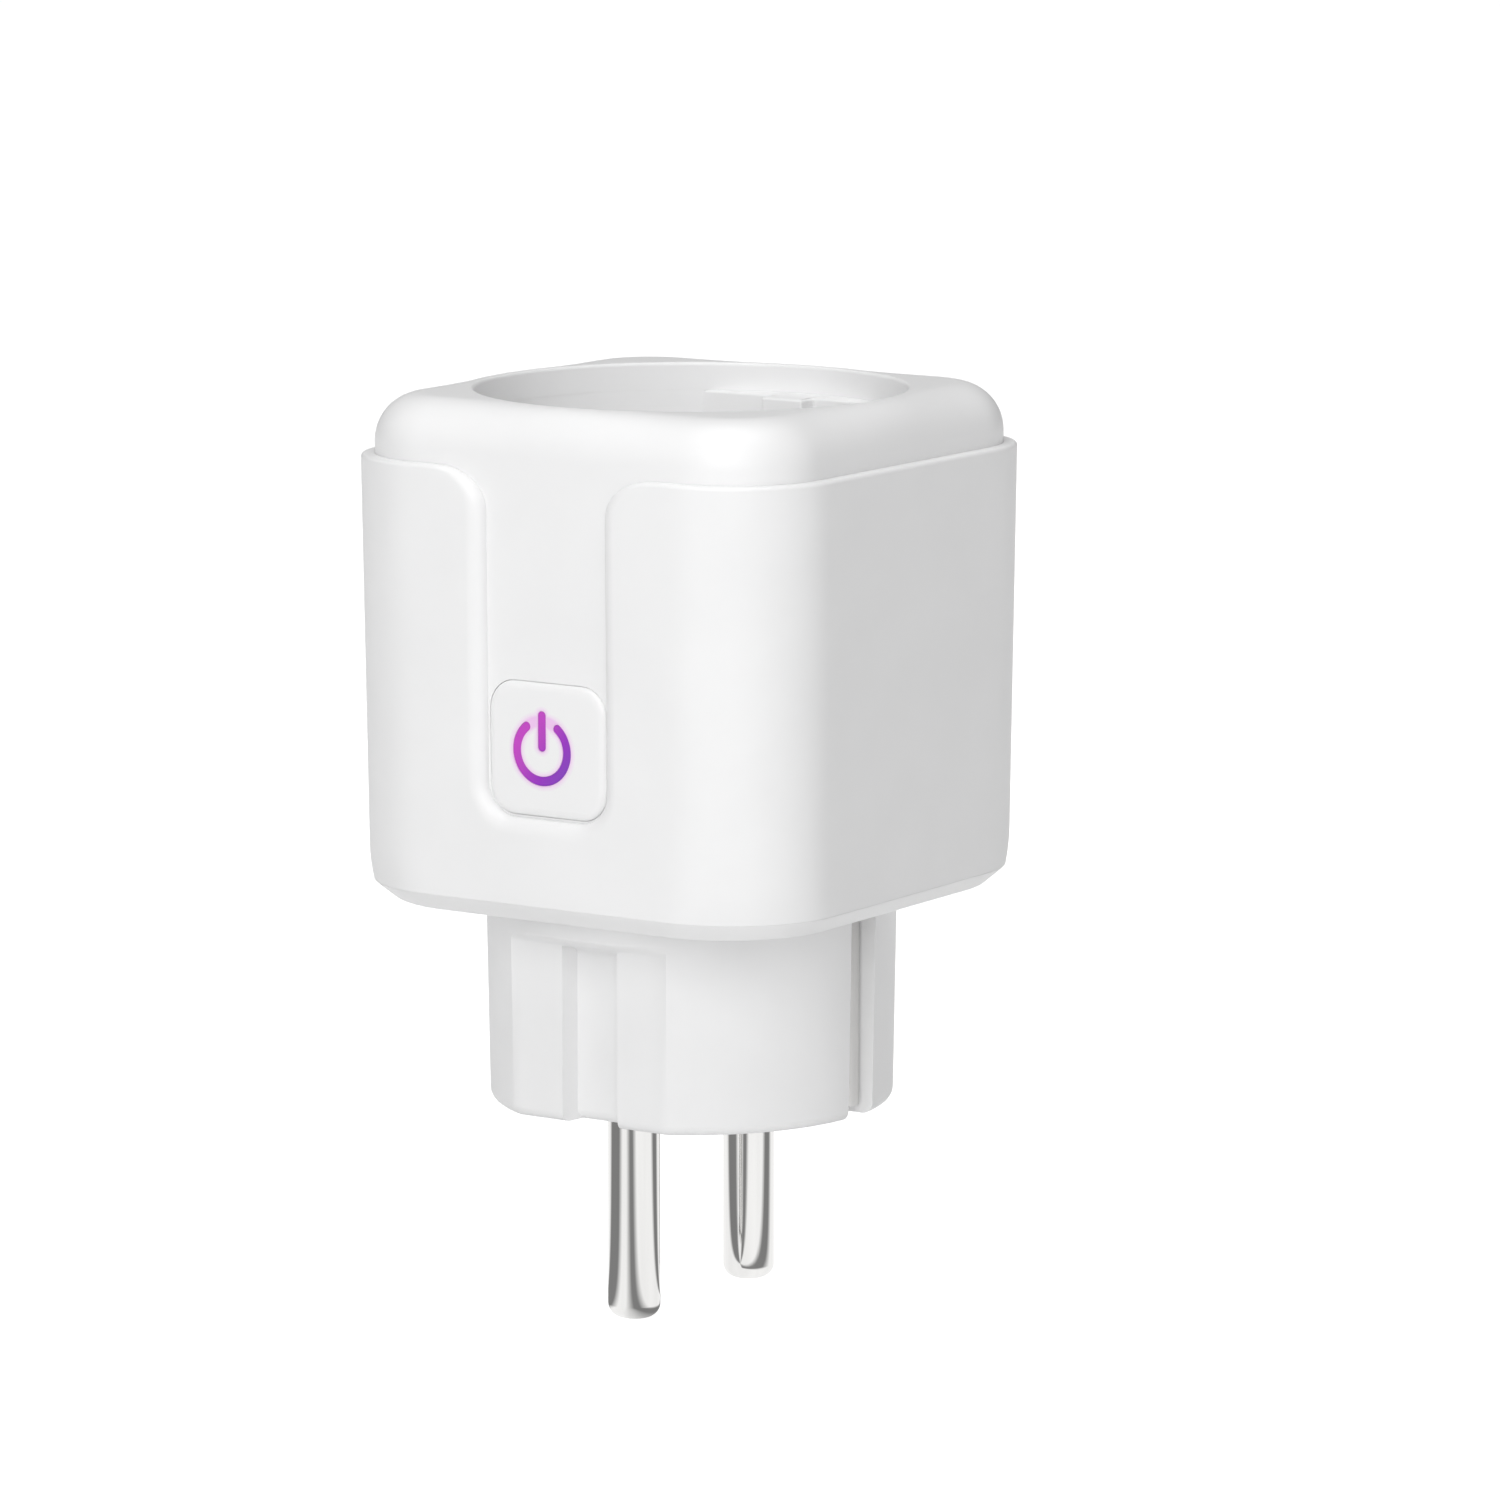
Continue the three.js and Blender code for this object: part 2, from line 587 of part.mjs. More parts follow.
// The power symbol, an open ring and a bar, as two outlines in X and Z, grown by a margin.
function symbolShapes(margin) {
  const half = SYMBOL_STROKE / 2 + margin;
  const [from, to] = [Math.PI / 2 + SYMBOL_OPENING, 2.5 * Math.PI - SYMBOL_OPENING];
  const ring = new THREE.Shape();
  ring.absarc(SYMBOL_X, SYMBOL_Z, SYMBOL_RADIUS + half, from, to);
  const end = [SYMBOL_X + SYMBOL_RADIUS * Math.cos(to), SYMBOL_Z + SYMBOL_RADIUS * Math.sin(to)];
  ring.absarc(...end, half, to, to + Math.PI);
  ring.absarc(SYMBOL_X, SYMBOL_Z, SYMBOL_RADIUS - half, to, from, true);
  const start = [SYMBOL_X + SYMBOL_RADIUS * Math.cos(from), SYMBOL_Z + SYMBOL_RADIUS * Math.sin(from)];
  ring.absarc(...start, half, from + Math.PI, from + 2 * Math.PI);
  const barLength = SYMBOL_BAR_TOP + 2 * margin;
  const barCentre = [SYMBOL_X, SYMBOL_Z + SYMBOL_BAR_TOP / 2];
  const bar = roundedRectangle(2 * half, barLength, half - 0.02, barCentre);
  return [ring, bar];
}

function buttonCap() {
  const centre = [0, BUTTON_Z];
  const face = roundedRectangle(BUTTON_WIDTH, BUTTON_HEIGHT, BUTTON_CORNER, centre);
  const inset = roundedRectangle(BUTTON_WIDTH - 0.6, BUTTON_HEIGHT - 0.6, BUTTON_CORNER - 0.3, centre);
  const flange = roundedRectangle(BUTTON_WIDTH + 1.6, BUTTON_HEIGHT + 1.6, BUTTON_CORNER + 0.8, centre);
  const pocket = roundedRectangle(9.8, 9.8, 1.5, centre);
  let cap = solid(slabAlongY(face, [BUTTON_FACE_Y + 0.3, FLANGE_BACK_Y]))
    .add(solid(slabAlongY(inset, [BUTTON_FACE_Y, FLANGE_BACK_Y])))
    .add(solid(slabAlongY(flange, [FLANGE_FRONT_Y, FLANGE_BACK_Y])))
    .subtract(solid(slabAlongY(pocket, [POCKET_Y, FLANGE_BACK_Y + 1])))
    .add(solid(cylinderAlongY(PUSHER_RADIUS, [POCKET_Y - 0.2, FLANGE_BACK_Y + 0.2], [0, SWITCH_Z])));
  for (const shape of symbolShapes(0.08)) {
    cap = cap.subtract(solid(slabAlongY(shape, [BUTTON_FACE_Y - 1, POCKET_Y], 5)));
  }
  return cap;
}

function lightGuide() {
  const backing = roundedRectangle(9.4, 9.4, 1.3, [0, BUTTON_Z]);
  let guide = solid(slabAlongY(backing, [POCKET_Y + 0.1, POCKET_Y + 0.8]));
  const passage = cylinderAlongY(PUSHER_RADIUS + 0.2, [POCKET_Y - 1, POCKET_Y + 2], [0, SWITCH_Z]);
  guide = guide.subtract(solid(passage));
  for (const shape of symbolShapes(0)) {
    guide = guide.add(solid(slabAlongY(shape, [BUTTON_FACE_Y + 0.05, POCKET_Y - 0.1], 5)));
  }
  // Two necks join the symbol's ring and bar to the plate behind.
  const neck = [POCKET_Y - 0.2, POCKET_Y + 0.4];
  guide = guide.add(solid(box([SYMBOL_X - 0.3, SYMBOL_X + 0.3], neck, [SYMBOL_Z + 2.2, SYMBOL_Z + 3.4])));
  for (const side of [1, -1]) {
    const middle = SYMBOL_X + side * SYMBOL_RADIUS;
    const x = [middle - 0.3, middle + 0.3];
    guide = guide.add(solid(box(x, neck, [SYMBOL_Z - 0.6, SYMBOL_Z + 0.6])));
  }
  return guide;
}

const SWITCH_FRONT_Y = -18.9;
const PLUNGER_RADIUS = 1.5;

function switchBody() {
  const x = [-3, 3];
  const body = solid(box(x, [SWITCH_FRONT_Y, CONTROL_BOARD_Y - 0.05], [SWITCH_Z - 3, SWITCH_Z + 3]));
  const bore = cylinderAlongY(
    PLUNGER_RADIUS + CLEARANCE,
    [SWITCH_FRONT_Y - 1, CONTROL_BOARD_Y - 0.6],
    [0, SWITCH_Z],
  );
  return body.subtract(solid(bore));
}

// ---- Relay -----------------------------------------------------------------------------------------

const RELAY = { x: 12.9, halfX: 7.3, halfY: 9.6, height: 15.2, wall: 0.6 };
const CONTACT_RIVET_Y = 6.3;

function relayCover() {
  const { halfX, halfY, height, wall } = RELAY;
  const inside = box([wall - halfX, halfX - wall], [wall - halfY, halfY - wall], [-1, height - wall]);
  return solid(box([-halfX, halfX], [-halfY, halfY], [0, height])).subtract(solid(inside));
}

function relayYoke() {
  const line = [[-7.6, 1.9], [2.5, 1.9], [2.5, 10.4]];
  const yoke = plate(stripShape(line, 1), [-3.5, 3.5]);
  return yoke.rotateY(Math.PI / 2).rotateX(Math.PI / 2);
}

// A spool on the Z axis: two flanges and a narrower core between them.
function spool([bottom, top], flange, core, rim, sides) {
  return turned(
    [
      [0, bottom],
      [flange, bottom],
      [flange, bottom + rim],
      [core, bottom + rim],
      [core, top - rim],
      [flange, top - rim],
      [flange, top],
      [0, top],
    ],
    sides,
  );
}

function relayFixedContact() {
  const post = solid(box([-2, 2], [8, 8.6], [1.5, 14]));
  const arm = solid(box([-2, 2], [5, 8.6], [13.4, 14]));
  return post.add(arm).add(solid(cylinder(1, [12.85, 13.6], [0, CONTACT_RIVET_Y])));
}

function relayContactBlade() {
  const blade = solid(box([-2, 2], [0, 7.5], [11.85, 12.2]));
  return blade.add(solid(cylinder(1, [12.1, 12.55], [0, CONTACT_RIVET_Y])));
}

// ---- Boards and components ---------------------------------------------------------------------------

function mainBoard() {
  const half = 20.3;
  let board = solid(plate(roundedRectangle(2 * half, 2 * half, 6.4), [BOARD_BOTTOM_Z, BOARD_TOP_Z]));
  for (const cut of fourCorners((x, y) => cylinder(BOSS_RADIUS + 0.4, [0, LEDGE_Z], [x, y]))) {
    board = board.subtract(solid(cut));
  }
  return board.subtract(solid(cylinder(2, [0, LEDGE_Z], [EARTH_WIRE_X + 0.3, 0])));
}

const EARTH_WIRE_X = -16.5;

function earthWire() {
  const [bottom, top] = [PARTING_Z - 0.4, EARTH_CROSS_Z - 0.5];
  const x = EARTH_WIRE_X;
  const bend = 1; // sideways, from the strap's end to the bracket
  const lower = [[x + bend, 0, bottom], [x + bend, 0, bottom + 1]];
  const points = [...lower, [x, 0, bottom + 4], [x, 0, top - 4], [x, 0, top]];
  return tube(points, 1, 8, 14);
}

// A drum standing on the board, its top edge eased.
function drum(radius, height) {
  const edge = 0.4;
  return turned([[0, 0], [radius, 0], [radius, height - edge], [radius - edge, height], [0, height]], 20);
}

function disc(radius, thickness) {
  return new THREE.CylinderGeometry(radius, radius, thickness, 20).rotateZ(Math.PI / 2);
}

function block(x, y, z) {
  return new THREE.BoxGeometry(x, y, z).translate(0, 0, z / 2);
}

// ---- Assembly ------------------------------------------------------------------------------------------

const shells = new THREE.Group();
const plug = new THREE.Group();
const socket = new THREE.Group();
const control = new THREE.Group();
const power = new THREE.Group();
const relay = new THREE.Group();
power.position.set(0, 0, SEAT_Z);
relay.position.set(RELAY.x, 0, SEAT_Z);
root.add(shells, plug, socket, control, power, relay);

add(shells, "outer_sleeve", outerSleeve(), WHITE_PLASTIC());
add(shells, "inner_housing", innerHousing(), WHITE_PLASTIC());
add(shells, "socket_cup", socketCup(), WHITE_PLASTIC());
add(shells, "base_housing", baseHousing(), WHITE_PLASTIC());
fourCorners((x, y) => [x, y, SHOULDER_Z + 0.05]).forEach((place, i) => {
  add(shells, `housing_screw_${i + 1}`, housingScrew(), STEEL(), place);
});

add(plug, "plug_pin_live", plugPin(), NICKEL(), [0, PIN_Y, 0]);
add(plug, "plug_pin_neutral", plugPin(), NICKEL(), [0, -PIN_Y, 0]);
add(plug, "plug_earth_strap", plugEarthStrap(), NICKEL());
add(plug, "earth_pin_contact", earthPinContact(), BRASS(), [EARTH_HOLE_X, 0, 0]);

add(socket, "live_contact", socketContact(), BRASS(), [0, PIN_Y, 0]);
add(socket, "neutral_contact", socketContact(), BRASS(), [0, -PIN_Y, 0]);
add(socket, "socket_earth_bracket", socketEarthBracket(), NICKEL());
add(socket, "earth_wire", earthWire(), look(0x9fb52a, 0.5));
add(socket, "shutter", shutter(), look(0xd9d9d6, 0.5));
add(socket, "shutter_spring", shutterSpring(), STEEL());
add(socket, "shutter_cover", shutterCover(), INNER_PLASTIC());

add(control, "button_cap", buttonCap(), WHITE_PLASTIC());
add(control, "light_guide", lightGuide(), look(0x8f2ab8, 0.3));
const controlBoard = box([-9.5, 9.5], [CONTROL_BOARD_Y, CONTROL_BOARD_Y + 1], [SEAT_Z, 43.5]);
add(control, "control_board", controlBoard, BOARD_GREEN());
add(control, "switch_body", switchBody(), look(0x2a2a2c, 0.45));
add(
  control,
  "switch_plunger",
  cylinderAlongY(PLUNGER_RADIUS, [SWITCH_FRONT_Y - 0.8, CONTROL_BOARD_Y - 1], [0, SWITCH_Z]),
  look(0x1c1c1e, 0.5),
);
const led = box([-0.8, 0.8], [CONTROL_BOARD_Y - 0.75, CONTROL_BOARD_Y - 0.05], [39.4, 40.4]);
add(control, "status_led", led, look(0xf4f0e0, 0.3));
const moduleY = CONTROL_BOARD_Y + 1 + CLEARANCE;
add(control, "wifi_board", box([-7.5, 7.5], [moduleY, moduleY + 0.8], [26.5, 40.5]), look(0x16191c, 0.5));
add(control, "wifi_shield", box([-6.5, 6.5], [moduleY + 0.9, moduleY + 2.6], [26.8, 36]), STEEL());

add(power, "main_board", mainBoard(), BOARD_GREEN(), [0, 0, -SEAT_Z]);
add(power, "capacitor_1", drum(4, 12), look(0x20242c, 0.4), [-10.2, -8.4, 0]);
add(power, "capacitor_2", drum(4, 12), look(0x20242c, 0.4), [-10.2, 8.4, 0]);
add(power, "inductor", spool([0, 9], 3.2, 2.6, 0.9, 16), look(0x3a3a3c, 0.6), [-10.2, 0, 0]);
add(power, "varistor", disc(5, 3.4), look(0x2458a8, 0.4), [-17.6, 7.8, 5.3]);
add(power, "bridge_rectifier", block(3.6, 6.4, 6), look(0x1a1a1c, 0.5), [-17.8, -8, 0]);
add(power, "suppression_capacitor", block(13, 5.6, 11.4), look(0xd8b02c, 0.45), [0, 16.5, 0]);
add(power, "fuse", disc(1.7, 6).translate(0, 0, 1.7), look(0xb8a88c, 0.4), [10.4, 13.4, 0]);
add(power, "metering_chip", block(3.9, 4.9, 1.5), look(0x1a1a1c, 0.5), [-2.4, 0, 0]);
add(power, "shunt_resistor", block(2.2, 6.3, 1), look(0xb87a50, 0.4, 1), [2.6, 0, 0]);

add(relay, "relay_cover", relayCover(), look(0x24262a, 0.4));
add(relay, "relay_base", block(13.2, 17.8, 1.3), look(0x1e2024, 0.5));
add(relay, "relay_yoke", relayYoke(), STEEL());
add(relay, "relay_coil", spool([2.6, 10], 4.3, 3.7, 0.8, 20), look(0xa8602c, 0.5), [0, -3.2, 0]);
add(relay, "relay_armature", box([-3.5, 3.5], [-7.6, 3], [10.65, 11.7]), STEEL());
add(relay, "relay_contact_blade", relayContactBlade(), BRASS());
add(relay, "relay_fixed_contact", relayFixedContact(), BRASS());

export default root;
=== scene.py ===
"""The looks of the smart plug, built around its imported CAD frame.

Shapes are worked out in millimetres, in the part's own frame: +Z up from the plug's face to the
socket's mouth and -Y towards the button. piece() turns them into metres.
"""
import json
import math

import bmesh
import bpy
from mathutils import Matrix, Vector
from mathutils.geometry import delaunay_2d_cdt


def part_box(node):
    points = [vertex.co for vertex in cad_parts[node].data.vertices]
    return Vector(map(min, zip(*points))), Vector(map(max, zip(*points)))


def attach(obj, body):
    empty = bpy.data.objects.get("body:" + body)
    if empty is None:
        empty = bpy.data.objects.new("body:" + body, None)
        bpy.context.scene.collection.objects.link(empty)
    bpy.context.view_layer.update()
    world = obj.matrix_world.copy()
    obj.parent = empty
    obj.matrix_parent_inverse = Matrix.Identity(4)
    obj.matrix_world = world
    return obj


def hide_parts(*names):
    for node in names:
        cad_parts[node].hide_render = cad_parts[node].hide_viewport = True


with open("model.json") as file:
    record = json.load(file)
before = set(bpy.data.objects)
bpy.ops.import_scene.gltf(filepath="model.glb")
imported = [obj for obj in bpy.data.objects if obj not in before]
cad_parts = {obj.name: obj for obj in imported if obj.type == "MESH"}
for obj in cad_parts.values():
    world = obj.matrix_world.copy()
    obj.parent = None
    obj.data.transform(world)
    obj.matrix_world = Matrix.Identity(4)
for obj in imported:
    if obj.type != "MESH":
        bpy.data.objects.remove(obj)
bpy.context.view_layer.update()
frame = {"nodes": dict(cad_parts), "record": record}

MM = 0.001


def span(node, axis):
    """A CAD node's extent along one axis, in millimetres."""
    low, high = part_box(node)
    return low[axis] / MM, high[axis] / MM


# ---- Driving dimensions ------------------------------------------------------------------------

CLEARANCE = 0.1
SLEEVE_BOTTOM_Z, LEDGE_Z = span("outer_sleeve", 2)
PARTING_Z = SLEEVE_BOTTOM_Z - CLEARANCE
SLEEVE_HALF_TOP = span("outer_sleeve", 0)[1]
SLEEVE_HALF_BOTTOM = SLEEVE_HALF_TOP - 0.4
SLEEVE_WALL = 1.15
BODY_CORNER = 10
CORNER_GROWTH = 1.8
CORNER_GROWTH_Z = 24.5
HOUSING_INSET = SLEEVE_WALL + CLEARANCE
SLEEVE_SHOWN_WALL = SLEEVE_WALL + 0.09  # the sleeve sits close against the housing
HOUSING_WALL = 1.8
RIM_Z = span("inner_housing", 2)[1]
DOME_RADIUS = 4.4
DOME_START_Z = RIM_Z - DOME_RADIUS
RECESS_RADIUS = 19.7
RIM_ROUNDING = 0.35
CUP_RADIUS = span("socket_cup", 0)[1]
CUP_BOTTOM_Z, CUP_TOP_Z = span("socket_cup", 2)
CUP_BOTTOM_Z = max(CUP_BOTTOM_Z, CUP_TOP_Z - 17.4)  # the shutter's pivot hangs lower
FLOOR_Z = RIM_Z - 17.5
FLAT_Y = 17
RIB_Y = 15
RIB_HALF = 2.25
PIN_RADIUS = 2.4
PIN_TIP_Z = span("plug_pin_live", 2)[0]
PIN_Y = 9.5
PLUG_RADIUS = 18.85
PLUG_FACE_RADIUS = 18.55
PLUG_FLAT_Y = 16.56
GROOVE_HALF = 3.0
GROOVE_DEPTH = 2
GROOVE_SLOPE = 0.3  # how far each side of a groove leans in
FLAT_TOP_Z = 16.3
FLAT_FADE = 1.1  # height over which the flats fade into the round
GROOVE_END = 1.0  # the groove's rounded upper end
EARTH_RECESS_X = 16.2
EARTH_RECESS_HALF = 2
SHOULDER_Z = 19.5
FACE_THICKNESS = 2.2
SCREW_XY = 16.9
BUTTON_Z = 35.3
BUTTON_WIDTH = 12.6
BUTTON_HEIGHT = 12.1
BUTTON_CORNER = 2.7
BUTTON_GAP = 0.035
BUTTON_FACE_Y, BUTTON_BACK_Y = span("button_cap", 1)
SYMBOL_X = -0.5
SYMBOL_Z = 35.2
SYMBOL_RADIUS = 2.7
SYMBOL_STROKE = 0.8
SYMBOL_OPENING = math.radians(38)
SYMBOL_BAR_TOP = 3.6
CORNER_STEPS = 20


# ---- Mesh building -----------------------------------------------------------------------------


def inside(point, loop):
    """True if a flat point lies inside a closed outline."""
    odd = False
    for a, b in zip(loop, loop[1:] + loop[:1]):
        if (a.y > point.y) != (b.y > point.y):
            if point.x < a.x + (point.y - a.y) / (b.y - a.y) * (b.x - a.x):
                odd = not odd
    return odd


class Skin:
    """The points and faces of one piece."""

    def __init__(self):
        self.points = []
        self.faces = []

    def ring(self, points):
        first = len(self.points)
        self.points.extend(points)
        return list(range(first, len(self.points)))

    def strip(self, low, high, closed=True):
        count = len(low)
        for i in range(count if closed else count - 1):
            j = (i + 1) % count
            self.faces.append((low[i], low[j], high[j], high[i]))

    def rings(self, rows, closed=True):
        made = [self.ring(row) for row in rows]
        for low, high in zip(made, made[1:]):
            self.strip(low, high, closed)
        return made

    def distinct(self, loop):
        """A loop without the points that repeat the one before."""
        kept = []
        for i, j in zip(loop, loop[1:] + loop[:1]):
            if math.dist(self.points[i], self.points[j]) > 1e-5:
                kept.append(i)
        return kept

    def fill(self, outline, holes=(), axes=(0, 1)):
        """Triangles across an outline, seen along the axis left out, with its holes left open."""
        loops = [self.distinct(loop) for loop in (outline, *holes)]
        ids = [i for loop in loops for i in loop]
        flat = [Vector((self.points[i][axes[0]], self.points[i][axes[1]])) for i in ids]
        edges = []
        polygons = []
        start = 0
        for loop in loops:
            count = len(loop)
            edges += [(start + k, start + (k + 1) % count) for k in range(count)]
            polygons.append(flat[start:start + count])
            start += count
        points, _, faces, origins, _, _ = delaunay_2d_cdt(flat, edges, [], 0, 1e-7)
        for face in faces:
            centre = sum((points[k] for k in face), Vector((0, 0))) / 3
            if inside(centre, polygons[0]) and not any(inside(centre, p) for p in polygons[1:]):
                self.faces.append(tuple(ids[origins[k][0]] for k in face))


def finish_mesh(mesh, sharp):
    bm = bmesh.new()
    bm.from_mesh(mesh)
    bmesh.ops.remove_doubles(bm, verts=bm.verts, dist=2e-7)
    bmesh.ops.dissolve_degenerate(bm, edges=bm.edges, dist=1e-8)
    bmesh.ops.recalc_face_normals(bm, faces=bm.faces)
    bm.to_mesh(mesh)
    bm.free()
    mesh.shade_smooth()
    mesh.set_sharp_from_angle(angle=math.radians(sharp))


def piece(name, skin, material, body, replaced, sharp=38):
    mesh = bpy.data.meshes.new(name)
    mesh.from_pydata([tuple(c * MM for c in p) for p in skin.points], [], skin.faces)
    finish_mesh(mesh, sharp)
    mesh.materials.append(material)
    made = bpy.data.objects.new(name, mesh)
    bpy.context.scene.collection.objects.link(made)
    weighted = made.modifiers.new("weighted", "WEIGHTED_NORMAL")
    weighted.keep_sharp = True
    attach(made, body)
    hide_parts(replaced)
    return made


def arc(centre, radius, start, end, steps):
    """Points on an arc, both ends included; angles in radians."""
    angles = [start + (end - start) * k / steps for k in range(steps + 1)]
    return [(centre[0] + radius * math.cos(a), centre[1] + radius * math.sin(a)) for a in angles]


def quarter_turn(steps, first=0):
    """Angles from 0 to 90 degrees, in radians, from a given step on."""
    return [math.pi / 2 * k / steps for k in range(first, steps + 1)]


def circle(radius, centre=(0, 0), count=96):
    return arc(centre, radius, 0, 2 * math.pi, count)[:-1]


def rounded_rectangle(width, height, corner, centre=(0, 0), steps=8):
    points = []
    for quarter, (sx, sz) in enumerate([(1, 1), (-1, 1), (-1, -1), (1, -1)]):
        start = quarter * math.pi / 2
        middle = (centre[0] + sx * (width / 2 - corner), centre[1] + sz * (height / 2 - corner))
        points += arc(middle, corner, start, start + math.pi / 2, steps)
    return points


def eased(points, rounding=0.25, steps=3, limit=30):
    """A closed outline with every corner sharper than the limit (degrees) rounded."""
    made = []
    count = len(points)
    for i, (x, y) in enumerate(points):
        here = Vector((x, y))
        before = Vector(points[i - 1]) - here
        after = Vector(points[(i + 1) % count]) - here
        turn = math.degrees((-before).angle(after))
        if turn < limit:
            made.append((x, y))
            continue
        reach = min(rounding, before.length * 0.45, after.length * 0.45)
        a = here + before.normalized() * reach
        b = here + after.normalized() * reach
        for step in range(steps + 1):
            t = step / steps
            p = a.lerp(here, t).lerp(here.lerp(b, t), t)
            made.append((p.x, p.y))
    return made


# ---- The rounded-square body -------------------------------------------------------------------


def sleeve_half(z):
    share = (z - PARTING_Z) / (LEDGE_Z - PARTING_Z)
    return SLEEVE_HALF_BOTTOM + share * (SLEEVE_HALF_TOP - SLEEVE_HALF_BOTTOM)


def body_corner(z):
    """The body's corner radius, which grows towards its lower edge."""
    share = max(0, (CORNER_GROWTH_Z - z) / (CORNER_GROWTH_Z - SHOULDER_Z))
    return BODY_CORNER + CORNER_GROWTH * share * share


def body_columns(front_stops, stops=(-12, -6, 0, 6, 12)):
    """Columns around the body from the front: (quarter, offset along its side, angle in its corner)."""
    columns = []
    for quarter in range(4):
        along = front_stops if quarter == 0 else stops
        columns += [(quarter, offset, None) for offset in along]
        columns += [(quarter, None, angle) for angle in quarter_turn(CORNER_STEPS)]
    return columns


def body_point(column, half, corner, z):
    quarter, along, angle = column
    x, y = along, -half
    if angle is not None:
        x = half - corner + corner * math.sin(angle)
        y = -(half - corner) - corner * math.cos(angle)
    for _ in range(quarter):
        x, y = -y, x
    return (x, y, z)


# ---- Outer sleeve ------------------------------------------------------------------------------

PANEL_HALF = 12  # the front panel, which holds the notch
NOTCH_HALF = 6.55
NOTCH_BOTTOM_Z = 29
NOTCH_CORNER = 3.1
NOTCH_FLARE = (5.2, 3.7)  # where the notch widens at the ledge: across, down
NOTCH_EDGE = (1.5, 1.1)  # the notch's rounded edge: width on the face, depth
TOP_EDGE = (0.35, 0.35)
BOTTOM_EDGE = 0.04
EDGE_STEPS = 8
STAGE_HEIGHTS = (21.9, 22.7, 23.5, CORNER_GROWTH_Z)  # rings that follow the corners' growth


def notch_half_outline():
    """Right half of the notch, bottom middle to ledge: x, z, outward x, outward z, edge blend."""
    made = [(0, NOTCH_BOTTOM_Z, 0, -1, 1)]
    corner = (NOTCH_HALF - NOTCH_CORNER, NOTCH_BOTTOM_Z + NOTCH_CORNER)
    steps = 12
    for k in range(steps + 1):
        a = -math.pi / 2 + math.pi / 2 * k / steps
        c, s = math.cos(a), math.sin(a)
        made.append((corner[0] + NOTCH_CORNER * c, corner[1] + NOTCH_CORNER * s, c, s, 1))
    low, high = corner[1], LEDGE_Z - NOTCH_FLARE[1]
    made += [(NOTCH_HALF, low + (high - low) * k / 6, 1, 0, 1) for k in range(1, 6)]
    flare = (NOTCH_HALF + NOTCH_FLARE[0], high)
    steps = 24
    for k in range(steps + 1):
        a = math.pi - math.pi / 2 * k / steps
        share = k / steps
        blend = 1 - share * share * (3 - 2 * share)
        c, s = math.cos(a), math.sin(a)
        out = Vector((-c / NOTCH_FLARE[0], -s / NOTCH_FLARE[1])).normalized()
        made.append((flare[0] + NOTCH_FLARE[0] * c, flare[1] + NOTCH_FLARE[1] * s, out.x, out.y, blend))
    return made


def sleeve_top_loop():
    """The sleeve's upper edge as (column or None, x, z, outward x, outward z, blend) entries."""
    right = notch_half_outline()
    left = [(-x, z, -nx, nz, blend) for x, z, nx, nz, blend in reversed(right[1:])]
    entries = [((0, -PANEL_HALF, None), -PANEL_HALF, LEDGE_Z, 0, -1, 0)]
    entries += [(None, *entry) for entry in left + right]
    for column in body_columns((PANEL_HALF,)):
        entries.append((column, 0, LEDGE_Z, 0, -1, 0))
    return entries


def outer_sleeve():
    skin = Skin()
    entries = sleeve_top_loop()
    front_count = next(i for i, e in enumerate(entries) if e[0] == (0, PANEL_HALF, None)) + 1

    def top_ring(angle, depth=None):
        ring = []
        for column, x, z, nx, nz, blend in entries:
            width = TOP_EDGE[0] + (NOTCH_EDGE[0] - TOP_EDGE[0]) * blend
            deep = TOP_EDGE[1] + (NOTCH_EDGE[1] - TOP_EDGE[1]) * blend
            back = width * (1 - math.sin(angle))
            d = deep * (1 - math.cos(angle)) if depth is None else depth
            high = z + nz * back
            if column:
                ring.append(body_point(column, sleeve_half(high) - d, BODY_CORNER - d, high))
            else:
                ring.append((x + nx * back, d - sleeve_half(high), high))
        return skin.ring(ring)

    def bottom_ring(columns, angle, depth=None):
        d = BOTTOM_EDGE * (1 - math.cos(angle)) if depth is None else depth
        z = SLEEVE_BOTTOM_Z + BOTTOM_EDGE * (1 - math.sin(angle))
        return skin.ring([body_point(c, sleeve_half(z) - d, body_corner(z) - d, z) for c in columns])

    bottom_columns = body_columns((-PANEL_HALF, -6, 0, 6, PANEL_HALF))
    bottom_front = 5
    turns = quarter_turn(EDGE_STEPS)
    tops = [top_ring(a) for a in turns] + [top_ring(math.pi / 2, SLEEVE_SHOWN_WALL)]
    bottoms = [bottom_ring(bottom_columns, a) for a in turns]
    bottoms.append(bottom_ring(bottom_columns, math.pi / 2, SLEEVE_SHOWN_WALL))
    for rows in (tops, bottoms):
        for low, high in zip(rows, rows[1:]):
            skin.strip(low, high)
    side_columns = bottom_columns[bottom_front - 1:] + bottom_columns[:1]
    for top, bottom, d in ((tops[0], bottoms[0], 0), (tops[-1], bottoms[-1], SLEEVE_SHOWN_WALL)):
        stages = []
        for z in STAGE_HEIGHTS:
            points = [body_point(c, sleeve_half(z) - d, body_corner(z) - d, z) for c in side_columns]
            stages.append(skin.ring(points))
        rows = [bottom[bottom_front - 1:] + bottom[:1], *stages, top[front_count - 1:] + top[:1]]
        for low, high in zip(rows, rows[1:]):
            skin.strip(low, high, closed=False)
        right = [stage[0] for stage in reversed(stages)]
        left = [stage[-1] for stage in stages]
        skin.fill(top[:front_count] + right + bottom[:bottom_front][::-1] + left, axes=(0, 2))
    return skin


# ---- Inner housing -----------------------------------------------------------------------------

